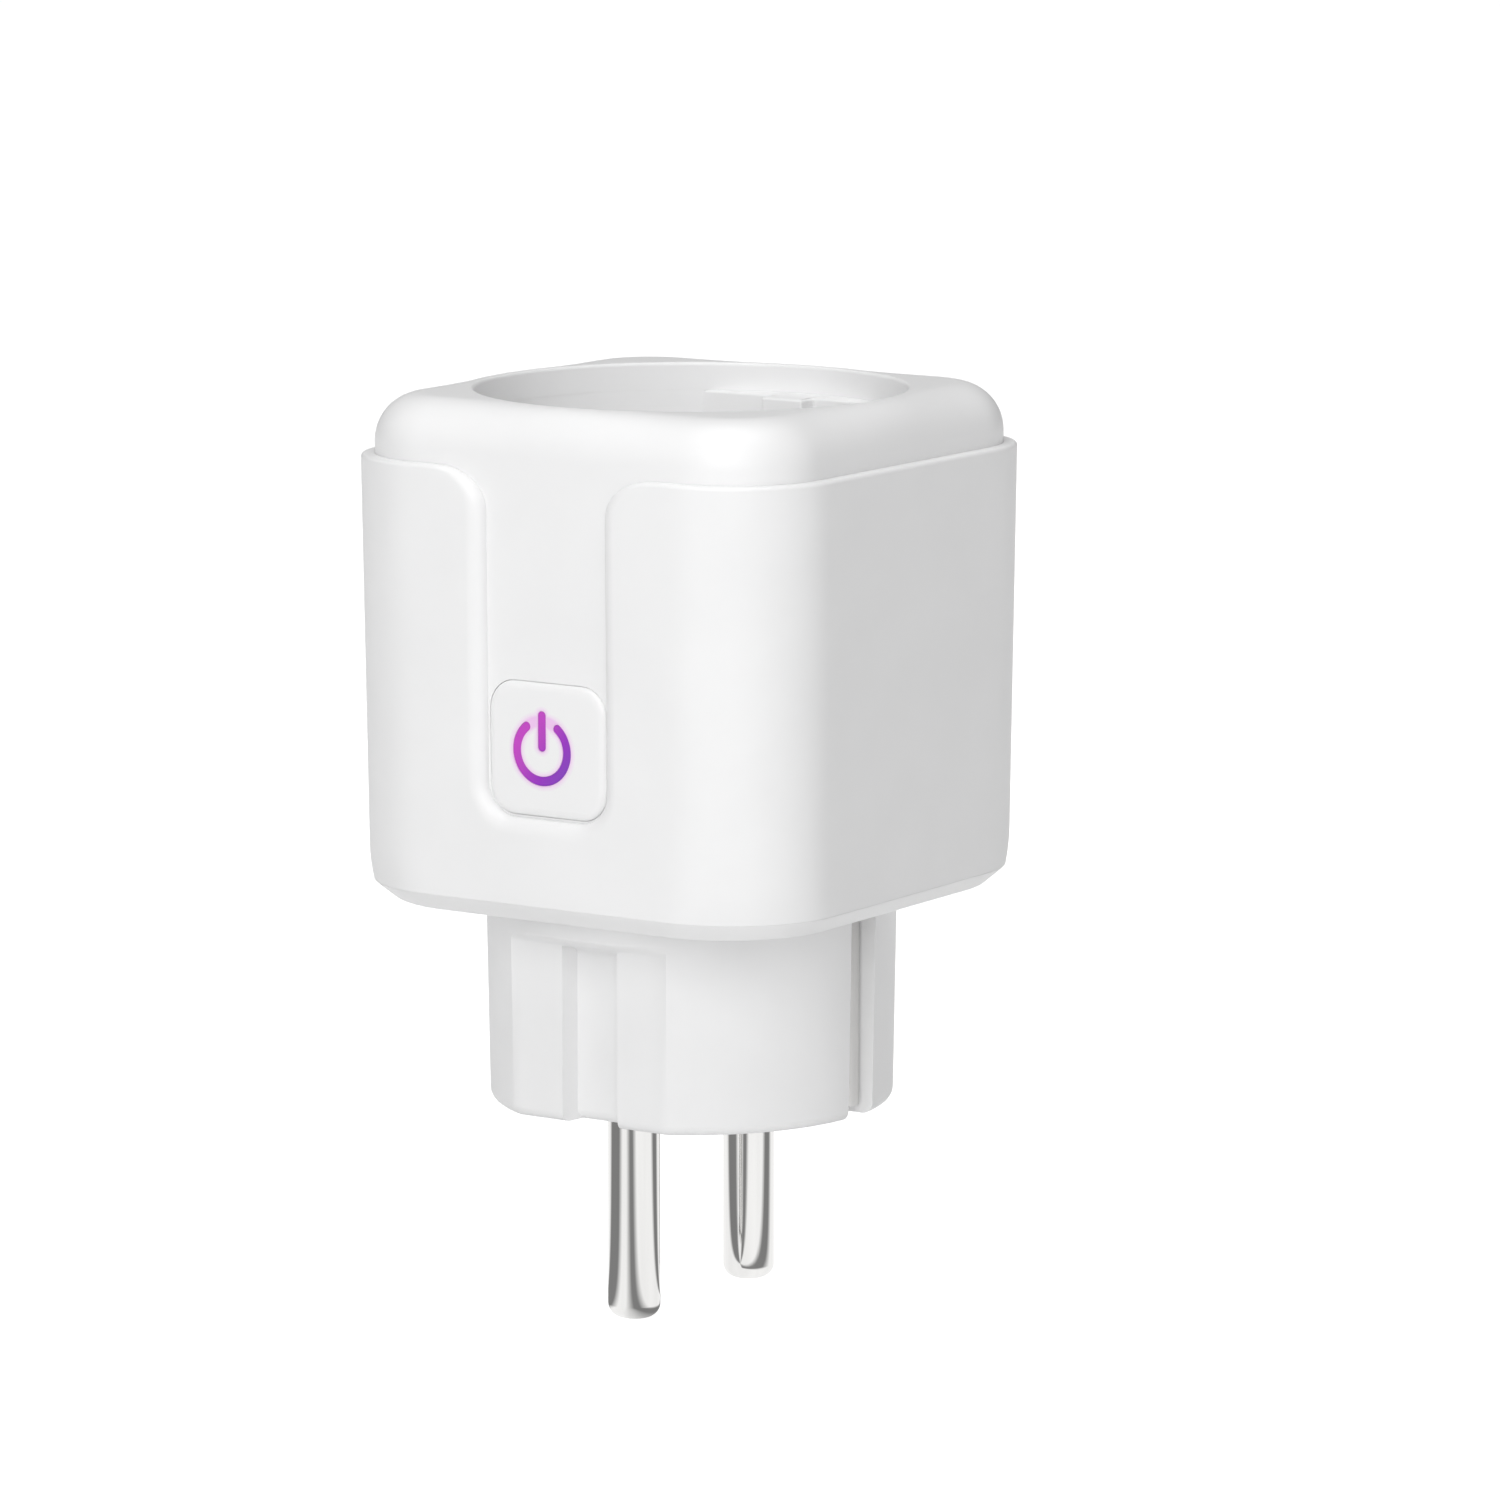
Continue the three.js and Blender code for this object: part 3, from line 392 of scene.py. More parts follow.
HOUSING_CORNER = BODY_CORNER - HOUSING_INSET
DOME_STEPS = 14
RIM_MARGIN = 0.02
RIM_STEPS = 6
HALVINGS = 40
WINDOW_BAND = (26.5, 44.5)  # the heights between which the wall holds the button's window
SEAT_GAP = 0.005


def housing_half(z):
    return sleeve_half(min(z, LEDGE_Z)) - HOUSING_INSET


def inset_from_wall(x, y):
    straight = housing_half(LEDGE_Z) - HOUSING_CORNER
    qx, qy = abs(x) - straight, abs(y) - straight
    distance = math.hypot(max(qx, 0), max(qy, 0)) + min(max(qx, qy), 0)
    return HOUSING_CORNER - distance


def dome_z(x, y, reach):
    """Height of the dome. Its curve is squeezed in plan where the rim leaves less room for it."""
    inset = min(max(inset_from_wall(x, y), 0), reach) * DOME_RADIUS / reach
    return DOME_START_Z + math.sqrt(DOME_RADIUS ** 2 - (DOME_RADIUS - inset) ** 2)


def dome_line(start, end):
    """Points over the dome from its outer edge to the recess's rim, spaced evenly round its curve."""
    final = inset_from_wall(*end)
    reach = min(final, DOME_RADIUS) - RIM_MARGIN
    steps = DOME_STEPS - 1
    made = []
    for k in range(1, steps + 1):
        wanted = reach * (1 - math.cos(math.pi / 2 * k / steps))
        low, high = 0.0, 1.0
        for _ in range(HALVINGS):
            t = (low + high) / 2
            x = start[0] + (end[0] - start[0]) * t
            y = start[1] + (end[1] - start[1]) * t
            if inset_from_wall(x, y) < wanted:
                low = t
            else:
                high = t
        made.append((x, y, dome_z(x, y, reach)))
    made.append((*end, RIM_Z))
    return made


def inner_housing():
    skin = Skin()
    stops = (-12, -8, -4, 0, 4, 8, 12)
    columns = body_columns(stops, stops)
    panel = (1, 6)  # the stops from -8 to 8
    levels = [SLEEVE_BOTTOM_Z, *WINDOW_BAND, DOME_START_Z]
    window = rounded_rectangle(
        BUTTON_WIDTH + 2 * BUTTON_GAP,
        BUTTON_HEIGHT + 2 * BUTTON_GAP,
        BUTTON_CORNER + BUTTON_GAP,
        (0, BUTTON_Z),
    )

    def wall(inset):
        rows = []
        for z in levels:
            half = housing_half(z) - inset
            rows.append(skin.ring([body_point(c, half, HOUSING_CORNER - inset, z) for c in columns]))
        for i, (low, high) in enumerate(zip(rows, rows[1:])):
            if i != 1:  # only the second band holds the window
                skin.strip(low, high)
                continue
            low_sides = low[panel[1] - 1:] + low[:panel[0] + 1]
            high_sides = high[panel[1] - 1:] + high[:panel[0] + 1]
            skin.strip(low_sides, high_sides, closed=False)
            hole = skin.ring([(x, inset - housing_half(z), z) for x, z in window])
            skin.fill(low[panel[0]:panel[1]] + high[panel[0]:panel[1]][::-1], [hole], axes=(0, 2))
        return rows, hole

    outer, outer_hole = wall(0)
    inner, inner_hole = wall(HOUSING_WALL)
    skin.strip(outer_hole, inner_hole)
    skin.strip(outer[0], inner[0])
    rounding_start = RECESS_RADIUS + RIM_ROUNDING
    lines = []
    for i in outer[-1]:
        x, y, _ = skin.points[i]
        reach = math.hypot(x, y)
        toward = (x / reach, y / reach)
        line = dome_line((x, y), (toward[0] * rounding_start, toward[1] * rounding_start))
        top = line[-1][2]
        for a in quarter_turn(RIM_STEPS, 1):
            r = rounding_start - RIM_ROUNDING * math.sin(a)
            line.append((toward[0] * r, toward[1] * r, top - RIM_ROUNDING * (1 - math.cos(a))))
        for r in (RECESS_RADIUS, CUP_RADIUS + CLEARANCE):
            line.append((toward[0] * r, toward[1] * r, CUP_TOP_Z + SEAT_GAP))
        lines.append(line)
    rows = [outer[-1]] + [skin.ring(row) for row in zip(*lines)] + [inner[-1]]
    for low, high in zip(rows, rows[1:]):
        skin.strip(low, high)
    return skin


# ---- Socket cup --------------------------------------------------------------------------------

EARTH_SLOT_X = 18.8
EARTH_SLOT_HALF = 2.75
EARTH_SLOT_WIDTH = 0.8
PIN_HOLE_RADIUS = 2.8
CUP_EDGE = 0.28
CUP_FILLET = 0.15


def recess_outline():
    """The recess in plan: a circle with two flats, each with a guide rib."""
    start = math.asin(FLAT_Y / RECESS_RADIUS)
    made = []
    for side in (0, math.pi):
        ring = arc((0, 0), RECESS_RADIUS, -start, start, 72)
        ring += [(RIB_HALF, FLAT_Y), (RIB_HALF, RIB_Y), (-RIB_HALF, RIB_Y), (-RIB_HALF, FLAT_Y)]
        c, s = math.cos(side), math.sin(side)
        made += [(x * c - y * s, x * s + y * c) for x, y in ring]
    return eased(made, 0.3, 4)


def on_circle(x, y):
    """True where the recess's outline is its bare circle, not a flat or a rib."""
    return math.hypot(x, y) >= RECESS_RADIUS - 0.05


def socket_cup():
    skin = Skin()
    outline = recess_outline()
    outside = []
    for x, y in outline:
        reach = math.hypot(x, y)
        if on_circle(x, y):
            outside.append((x / reach * CUP_RADIUS, y / reach * CUP_RADIUS))
        else:
            outside.append((x, math.copysign(math.sqrt(CUP_RADIUS ** 2 - x * x), y)))
    count = len(outline)
    shares = [0.02 if on_circle(x, y) else 1 for x, y in outline]  # how much of the edge shows

    def offset(amount):
        """The outline moved outward, but hardly where it is the bare circle."""
        ring = []
        for i, (x, y) in enumerate(outline):
            a, b = outline[i - 1], outline[(i + 1) % count]
            normal = Vector((b[1] - a[1], a[0] - b[0])).normalized()
            ring.append((x + normal.x * amount * shares[i], y + normal.y * amount * shares[i]))
        return ring

    rows = [[(x, y, CUP_BOTTOM_Z) for x, y in outside], [(x, y, CUP_TOP_Z) for x, y in outside]]
    for a in quarter_turn(5):
        ring = offset(CUP_EDGE * (1 - math.sin(a)))
        drop = CUP_EDGE * (1 - math.cos(a))
        rows.append([(x, y, CUP_TOP_Z - drop * share) for (x, y), share in zip(ring, shares)])
    for a in quarter_turn(4):
        shrink = 1 - CUP_FILLET * (1 - math.cos(a)) / RECESS_RADIUS
        z = FLOOR_Z + CUP_FILLET * (1 - math.sin(a))
        rows.append([(x * shrink, y * shrink, z) for x, y in outline])
    made = skin.rings(rows)

    def hole(points, rounding):
        """One opening through the floor, its upper edge rounded; returns its two end loops."""
        loops = []
        middle = (sum(p[0] for p in points) / len(points), sum(p[1] for p in points) / len(points))
        for a in quarter_turn(4):
            grow = rounding * (1 - math.sin(a))
            ring = []
            for x, y in points:
                out = Vector((x - middle[0], y - middle[1]))
                out = out + out.normalized() * grow
                z = FLOOR_Z - rounding * (1 - math.cos(a))
                ring.append((middle[0] + out.x, middle[1] + out.y, z))
            loops.append(ring)
        loops.append([(x, y, CUP_BOTTOM_Z) for x, y in points])
        ids = skin.rings(loops)
        return ids[0], ids[-1]

    holes = []
    for side in (1, -1):
        holes.append(hole(circle(PIN_HOLE_RADIUS, (0, PIN_Y * side), 40), 0.5))
        middle = (EARTH_SLOT_X * side, 0)
        slot = rounded_rectangle(EARTH_SLOT_WIDTH, 2 * EARTH_SLOT_HALF, 0.3, middle, 4)
        holes.append(hole(slot, 0.1))
    skin.fill(made[-1], [h[0] for h in holes])
    skin.fill(made[0], [h[1] for h in holes])
    return skin


# ---- Base with the plug body -------------------------------------------------------------------


def plug_outline(radius, cut=1.0, depth=GROOVE_DEPTH):
    """The plug body in plan: cut runs from 0, plain round, to 1, with flats, and depth is the grooves'."""

    def y_at(x):
        return math.sqrt(radius * radius - x * x) * (1 - cut) + PLUG_FLAT_Y * cut

    recess_angle = math.asin(EARTH_RECESS_HALF / radius)
    flat_angle = math.asin(PLUG_FLAT_Y / PLUG_FACE_RADIUS)
    corner_x = PLUG_FACE_RADIUS * math.cos(flat_angle)
    quarter = [(EARTH_RECESS_X, 0), (EARTH_RECESS_X, EARTH_RECESS_HALF)]
    quarter += arc((0, 0), radius, recess_angle, flat_angle, 24)
    for k in range(1, 7):
        x = corner_x + (GROOVE_HALF - corner_x) * k / 6
        quarter.append((x, y_at(x)))
    inner = GROOVE_HALF - GROOVE_SLOPE
    quarter += [(inner, y_at(inner) - depth), (0, y_at(0) - depth)]
    mirrored = [(-x, y) for x, y in reversed(quarter[:-1])]
    half = quarter + mirrored
    return half + [(x, -y) for x, y in reversed(half[1:-1])]


FOOT_ROUNDING = 1.0
ROOT_FILLET = 0.25
COUNTERBORE_RADIUS = 2.7
COUNTERBORE_TOP_Z = 20.4
COUNTERBORE_CHAMFER = 0.1
SCREW_HOLE_RADIUS = 1.5
WELL_RADIUS = 16
WELL_HALF_X = 14.2
WELL_HALF_Y = 12.6
PIN_SEAT_RADIUS = 2.47
EARTH_HOLE_X = -10
EARTH_HOLE_RADIUS = 2.6
HOLE_CHAMFER = 0.12
# The base's lower edge: inset from its side and height above the shoulder, bottom first.
BASE_BEVEL = ((1.95, 0), (1.75, 0.03), (1.55, 0.12), (1.4, 0.25), (0.33, 1.3), (0.18, 1.46), (0.08, 1.58),
              (0.02, 1.66), (0.01, 1.695))
BASE_TOP_Z = SHOULDER_Z + BASE_BEVEL[-1][1]


def base_housing():
    skin = Skin()
    columns = body_columns((-12, -6, 0, 6, 12))
    rows = []
    for inset, height in BASE_BEVEL:
        z = SHOULDER_Z + height
        half = SLEEVE_HALF_BOTTOM - inset
        rows.append([body_point(c, half, body_corner(z) - inset, z) for c in columns])
    shell = skin.rings(rows)

    rows = []
    ring = plug_outline(PLUG_FACE_RADIUS)
    for a in quarter_turn(6):
        shrink = 1 - FOOT_ROUNDING * (1 - math.sin(a)) / PLUG_FACE_RADIUS
        z = FOOT_ROUNDING * (1 - math.cos(a))
        rows.append([(x * shrink, y * shrink, z) for x, y in ring])
    levels = []
    for a in quarter_turn(8):
        levels.append((FLAT_TOP_Z - GROOVE_END * (1 - math.sin(a)), 1, GROOVE_DEPTH * math.cos(a)))
    for k in range(1, 9):
        t = k / 8
        levels.append((FLAT_TOP_Z + FLAT_FADE * t, 1 - t * t * (3 - 2 * t), 0))
    for z, cut, depth in levels:
        radius = PLUG_FACE_RADIUS + (PLUG_RADIUS - PLUG_FACE_RADIUS) * z / SHOULDER_Z
        rows.append([(x, y, z) for x, y in plug_outline(radius, cut, depth)])
    ring = plug_outline(PLUG_RADIUS, 0, 0)
    rows.append([(x, y, SHOULDER_Z - ROOT_FILLET) for x, y in ring])
    grown = 1 + ROOT_FILLET / PLUG_RADIUS
    rows.append([(x * grown, y * grown, SHOULDER_Z) for x, y in ring])
    body = skin.rings(rows)

    levels = [
        (COUNTERBORE_RADIUS + COUNTERBORE_CHAMFER, SHOULDER_Z),
        (COUNTERBORE_RADIUS, SHOULDER_Z + COUNTERBORE_CHAMFER),
        (COUNTERBORE_RADIUS, COUNTERBORE_TOP_Z),
        (SCREW_HOLE_RADIUS, COUNTERBORE_TOP_Z),
        (SCREW_HOLE_RADIUS, BASE_TOP_Z),
    ]
    counterbores = []
    for sx in (1, -1):
        for sy in (1, -1):
            place = (sx * SCREW_XY, sy * SCREW_XY)
            loops = skin.rings([[(x, y, z) for x, y in circle(r, place, 40)] for r, z in levels])
            counterbores.append((loops[0], loops[-1]))
    skin.fill(shell[0], [body[-1]] + [c[0] for c in counterbores])

    well_side = math.asin(WELL_HALF_Y / WELL_RADIUS)
    well = arc((0, 0), WELL_RADIUS, -well_side, well_side, 16)
    well = [(min(x, WELL_HALF_X), y) for x, y in well]
    well += [(-x, -y) for x, y in well]
    well_rows = skin.rings([[(x, y, z) for x, y in well] for z in (BASE_TOP_Z, FACE_THICKNESS)])
    skin.fill(shell[-1], [well_rows[0]] + [c[1] for c in counterbores])
    places = (
        ((0, PIN_Y), PIN_SEAT_RADIUS),
        ((0, -PIN_Y), PIN_SEAT_RADIUS),
        ((EARTH_HOLE_X, 0), EARTH_HOLE_RADIUS),
    )
    holes = []
    for centre, radius in places:
        levels = [(radius + HOLE_CHAMFER, 0), (radius, HOLE_CHAMFER), (radius, FACE_THICKNESS)]
        loops = skin.rings([[(x, y, z) for x, y in circle(r, centre, 48)] for r, z in levels])
        holes.append((loops[0], loops[-1]))
    skin.fill(body[0], [h[0] for h in holes])
    skin.fill(well_rows[1], [h[1] for h in holes])
    return skin


# ---- Turned pieces: pins and screws ------------------------------------------------------------


def turned(profile, centre, sides=64):
    """A solid of revolution about Z from (radius, z) pairs; its two ends are closed."""
    skin = Skin()
    rows = [[(x, y, z) for x, y in circle(r, centre, sides)] for r, z in profile]
    made = skin.rings(rows)
    skin.faces.append(tuple(made[0]))
    skin.faces.append(tuple(made[-1]))
    return skin


def plug_pin(side):
    tip_radius = 1.3
    collar_radius, collar_height = 3, 2.6
    tail_radius, tail_top = 1.4, 22.8
    flat = PIN_RADIUS - tip_radius
    profile = []
    for a in quarter_turn(12):
        profile.append((flat + tip_radius * math.sin(a), PIN_TIP_Z + tip_radius * (1 - math.cos(a))))
    low = FACE_THICKNESS + CLEARANCE
    high = low + collar_height
    profile += [(PIN_RADIUS, low), (collar_radius, low), (collar_radius, high)]
    profile += [(tail_radius, high), (tail_radius, tail_top)]
    return turned(profile, (0, PIN_Y * side))


def housing_screw(place):
    """A pan head with a cross recess, its shank up in the boss."""
    skin = Skin()
    low = span("housing_screw_1", 2)[0]
    head, head_height = 2.5, 0.8
    shank, shank_top = 1.05, 10.3
    tip, tip_top = 0.2, 11.2
    profile = [(head - 0.35, 0), (head - 0.1, 0.1), (head, 0.35), (head, head_height)]
    profile += [(shank, head_height), (shank, shank_top), (tip, tip_top)]
    made = skin.rings([[(x, y, low + z) for x, y in circle(r, place, 40)] for r, z in profile])
    skin.faces.append(tuple(made[-1]))
    arm, half, recess_depth, taper = 1.5, 0.35, 0.6, 0.8
    cross = [(arm, -half), (arm, half), (half, half), (half, arm), (-half, arm), (-half, half),
             (-arm, half), (-arm, -half), (-half, -half), (-half, -arm), (half, -arm), (half, -half)]
    cross = eased(cross, 0.15, 2)
    rows = []
    for z, share in ((low, 1.0), (low + recess_depth, taper)):
        rows.append([(place[0] + x * share, place[1] + y * share, z) for x, y in cross])
    recess = skin.rings(rows)
    skin.fill(made[0], [recess[0]])
    skin.faces.append(tuple(recess[1]))
    return skin


# ---- Button and light guide --------------------------------------------------------------------


def symbol_outlines(margin):
    """The power symbol's open ring and its bar, grown by a margin, as closed outlines in X and Z."""
    half = SYMBOL_STROKE / 2 + margin
    start, end = math.pi / 2 + SYMBOL_OPENING, 2.5 * math.pi - SYMBOL_OPENING
    centre = (SYMBOL_X, SYMBOL_Z)
    ring = arc(centre, SYMBOL_RADIUS + half, start, end, 60)
    tip = (SYMBOL_X + SYMBOL_RADIUS * math.cos(end), SYMBOL_Z + SYMBOL_RADIUS * math.sin(end))
    ring += arc(tip, half, end, end + math.pi, 10)[1:-1]
    ring += arc(centre, SYMBOL_RADIUS - half, end, start, 60)
    tip = (SYMBOL_X + SYMBOL_RADIUS * math.cos(start), SYMBOL_Z + SYMBOL_RADIUS * math.sin(start))
    ring += arc(tip, half, start + math.pi, start + 2 * math.pi, 10)[1:-1]
    middle = SYMBOL_Z + SYMBOL_BAR_TOP / 2
    bar = rounded_rectangle(2 * half, SYMBOL_BAR_TOP + 2 * margin, half - 0.01, (SYMBOL_X, middle), 8)
    return ring, bar


def button_cap():
    skin = Skin()
    thickness, wall = 0.85, 1.4
    flange_reach, flange_thickness = 0.8, 0.7
    edge_width, edge_depth = 0.85, 0.45
    pocket_y = BUTTON_FACE_Y + thickness
    flange_y = BUTTON_BACK_Y - flange_thickness

    def outline(shrink, y):
        width, height = BUTTON_WIDTH - 2 * shrink, BUTTON_HEIGHT - 2 * shrink
        points = rounded_rectangle(width, height, BUTTON_CORNER - shrink, (0, BUTTON_Z), 12)
        return [(x, y, z) for x, z in points]

    rows = [
        outline(wall, pocket_y),
        outline(wall, BUTTON_BACK_Y),
        outline(-flange_reach, BUTTON_BACK_Y),
        outline(-flange_reach, flange_y),
        outline(0, flange_y),
    ]
    for a in quarter_turn(8):
        rows.append(outline(edge_width * (1 - math.cos(a)), BUTTON_FACE_Y + edge_depth * (1 - math.sin(a))))
    made = skin.rings(rows)
    fronts, backs = [], []
    for shape in symbol_outlines(0.03):
        loops = skin.rings([[(x, y, z) for x, z in shape] for y in (BUTTON_FACE_Y, pocket_y)])
        fronts.append(loops[0])
        backs.append(loops[1])
    skin.fill(made[-1], fronts, axes=(0, 2))
    skin.fill(made[0], backs, axes=(0, 2))
    return skin


def light_guide():
    """The lit symbol, flush with the cap, on a plate behind the cap's face."""
    skin = Skin()
    plate_size, plate_corner, plate_thickness = 9.4, 1.3, 0.7
    front = BUTTON_FACE_Y + 0.03
    back = BUTTON_FACE_Y + 0.95
    plate_gap = 0.1
    for shape in symbol_outlines(0):
        made = skin.rings([[(x, y, z) for x, z in shape] for y in (front, back - plate_gap)])
        skin.fill(made[0], axes=(0, 2))
        skin.fill(made[1], axes=(0, 2))
    plate = rounded_rectangle(plate_size, plate_size, plate_corner, (0, BUTTON_Z))
    made = skin.rings([[(x, y, z) for x, z in plate] for y in (back, back + plate_thickness)])
    skin.fill(made[0], axes=(0, 2))
    skin.fill(made[1], axes=(0, 2))
    return skin


# ---- Materials ---------------------------------------------------------------------------------


class Shader:
    """A node material under one principled shader, its textures in object coordinates (metres)."""

    def __init__(self, name, color, roughness, metallic=0.0):
        self.material = bpy.data.materials.new(name)
        self.material.use_nodes = True
        self.tree = self.material.node_tree
        self.shader = self.tree.nodes["Principled BSDF"]
        self.set("Base Color", (*color, 1))
        self.set("Roughness", roughness)
        self.set("Metallic", metallic)
        self.color = color
        self.coords = self.tree.nodes.new("ShaderNodeTexCoord").outputs["Object"]

    def set(self, socket, value):
        self.shader.inputs[socket].default_value = value

    def node(self, kind, **inputs):
        made = self.tree.nodes.new(kind)
        for key, value in inputs.items():
            self.feed(made.inputs[key.replace("_", " ")], value)
        return made

    def feed(self, socket, value):
        if isinstance(value, bpy.types.NodeSocket):
            self.tree.links.new(value, socket)
        else:
            socket.default_value = value

    def stretched(self, scale):
        made = self.node("ShaderNodeMapping", Vector=self.coords)
        made.inputs["Scale"].default_value = scale
        return made.outputs["Vector"]

    def noise(self, size_mm, detail=3.0, stretch=(1, 1, 1)):
        vector = self.stretched(tuple(s / (size_mm * MM) for s in stretch))
        return self.node("ShaderNodeTexNoise", Vector=vector, Scale=1.0, Detail=detail).outputs["Fac"]

    def ramp(self, value, stops):
        made = self.node("ShaderNodeValToRGB", Fac=value)
        ramp = made.color_ramp
        while len(ramp.elements) < len(stops):
            ramp.elements.new(0.5)
        for element, (place, color) in zip(ramp.elements, stops):
            element.position = place
            element.color = (*color, 1)
        return made.outputs["Color"]

    def shades(self, value, spread, color=None):
        """The base colour made a little darker and lighter by a texture."""
        color = color or self.color
        dark = tuple(c * (1 - spread) for c in color)
        light = tuple(min(1, c * (1 + spread)) for c in color)
        self.feed(self.shader.inputs["Base Color"], self.ramp(value, [(0.3, dark), (0.7, light)]))

    def rough(self, value, low, high):
        made = self.node("ShaderNodeMapRange", Value=value, To_Min=low, To_Max=high)
        self.feed(self.shader.inputs["Roughness"], made.outputs["Result"])

    def bump(self, value, height_mm, strength=1.0):
        made = self.node("ShaderNodeBump", Height=value, Distance=height_mm * MM, Strength=strength)
        before = self.shader.inputs["Normal"]
        if before.is_linked:
            self.feed(made.inputs["Normal"], before.links[0].from_socket)
        self.feed(before, made.outputs["Normal"])

    def wave(self, period_mm, direction="Z", distortion=0.0):
        made = self.node("ShaderNodeTexWave", Vector=self.stretched((1 / MM,) * 3), Distortion=distortion)
        made.bands_direction = direction
        made.inputs["Scale"].default_value = math.pi / 10 / period_mm
        return made.outputs["Fac"]


def plastic(name, color, roughness=0.36, grain=0.004, spread=0.012, soft=0.0):
    """Moulded plastic: fine tool texture, slow changes in gloss and a trace of flow in the colour."""
    made = Shader(name, color, roughness)
    made.shades(made.noise(9), spread)
    made.rough(made.noise(2.5), roughness - 0.04, roughness + 0.05)
    made.bump(made.noise(0.12, 2), grain)
    made.set("IOR", 1.46)
    if soft:
        made.set("Subsurface Weight", soft)
        made.set("Subsurface Radius", (1.0, 0.95, 0.9))
        made.set("Subsurface Scale", 0.0006)
    return made.material


def metal(name, color, roughness, stretch, scratch=0.0015):
    """Drawn or rolled metal: fine lines along it and soft clouds in its gloss."""
    made = Shader(name, color, roughness, 1.0)
    made.shades(made.noise(1.5, 4, stretch), 0.05)
    made.rough(made.noise(0.8, 4, stretch), roughness * 0.75, roughness * 1.3)
    made.bump(made.noise(0.15, 3, stretch), scratch)
    return made.material


def board(name, color):
    """Circuit board: solder resist over raised tracks, which show lighter."""
    made = Shader(name, color, 0.35)
    vector = made.stretched((1 / (1.6 * MM),) * 3)
    cells = made.node("ShaderNodeTexVoronoi", Vector=vector, Scale=1.0)
    cells.distance = "CHEBYCHEV"
    tracks = made.ramp(cells.outputs["Distance"], [(0.30, color), (0.42, tuple(c * 1.7 for c in color))])
    made.feed(made.shader.inputs["Base Color"], tracks)
    made.bump(cells.outputs["Distance"], 0.03)
    made.rough(made.noise(0.5), 0.25, 0.45)
    return made.material


def wound(name, color, period, direction="Z", metallic=0.0):
    """Close turns of wire: real relief from a bump, with painted shade in the grooves between turns and
    painted highlight on their crowns.
    """
    made = Shader(name, color, 0.35, metallic)
    turns = made.wave(period, direction)
    # Painted shade and highlight: the colour goes darker in the grooves between turns and lighter on their
    # crowns.
    made.shades(turns, 0.35)
    made.bump(turns, period * 0.35)
    made.rough(made.noise(0.6), 0.3, 0.45)
    return made.material


def striped_sleeve(name, color, stripe, period):
    made = Shader(name, color, 0.4)
    bands = made.wave(period, "DIAGONAL")
    made.feed(made.shader.inputs["Base Color"], made.ramp(bands, [(0.48, color), (0.52, stripe)]))
    made.bump(made.noise(0.2), 0.01)
    return made.material


def lit_symbol():
    """The lit light guide, magenta at one side and violet at the other."""
    made = Shader("lit_symbol", (0.45, 0.03, 0.45), 0.3)
    place = made.node("ShaderNodeSeparateXYZ", Vector=made.coords)
    left, right, rise = 3.6, 4.2, 4.6  # how far the gradient runs from the sign's middle
    slant = 0.45  # the share of it that runs downwards
    low, high = (SYMBOL_X - left) * MM, (SYMBOL_X + right) * MM
    across = made.node("ShaderNodeMapRange", Value=place.outputs["X"], From_Min=low, From_Max=high)
    low, high = (SYMBOL_Z - rise) * MM, (SYMBOL_Z + rise) * MM
    down = made.node("ShaderNodeMapRange", Value=place.outputs["Z"], From_Min=low, From_Max=high)
    down.inputs["To Min"].default_value = slant
    down.inputs["To Max"].default_value = -slant
    both = made.node("ShaderNodeMath")
    made.feed(both.inputs[0], across.outputs["Result"])
    made.feed(both.inputs[1], down.outputs["Result"])
    drift = made.node("ShaderNodeMapRange", Value=made.noise(1.2), To_Min=-0.05, To_Max=0.05)
    cloud = made.node("ShaderNodeMath")
    made.feed(cloud.inputs[0], both.outputs["Value"])
    made.feed(cloud.inputs[1], drift.outputs["Result"])
    stops = [
        (0.1, (0.50, 0.055, 0.50)),
        (0.35, (0.42, 0.05, 0.48)),
        (0.68, (0.28, 0.03, 0.48)),
        (1.0, (0.21, 0.045, 0.46)),
    ]
    color = made.ramp(cloud.outputs["Value"], stops)
    made.feed(made.shader.inputs["Base Color"], color)
    made.feed(made.shader.inputs["Emission Color"], color)
    made.set("Emission Strength", 0.1)
    made.bump(made.noise(0.3), 0.003)
    return made.material


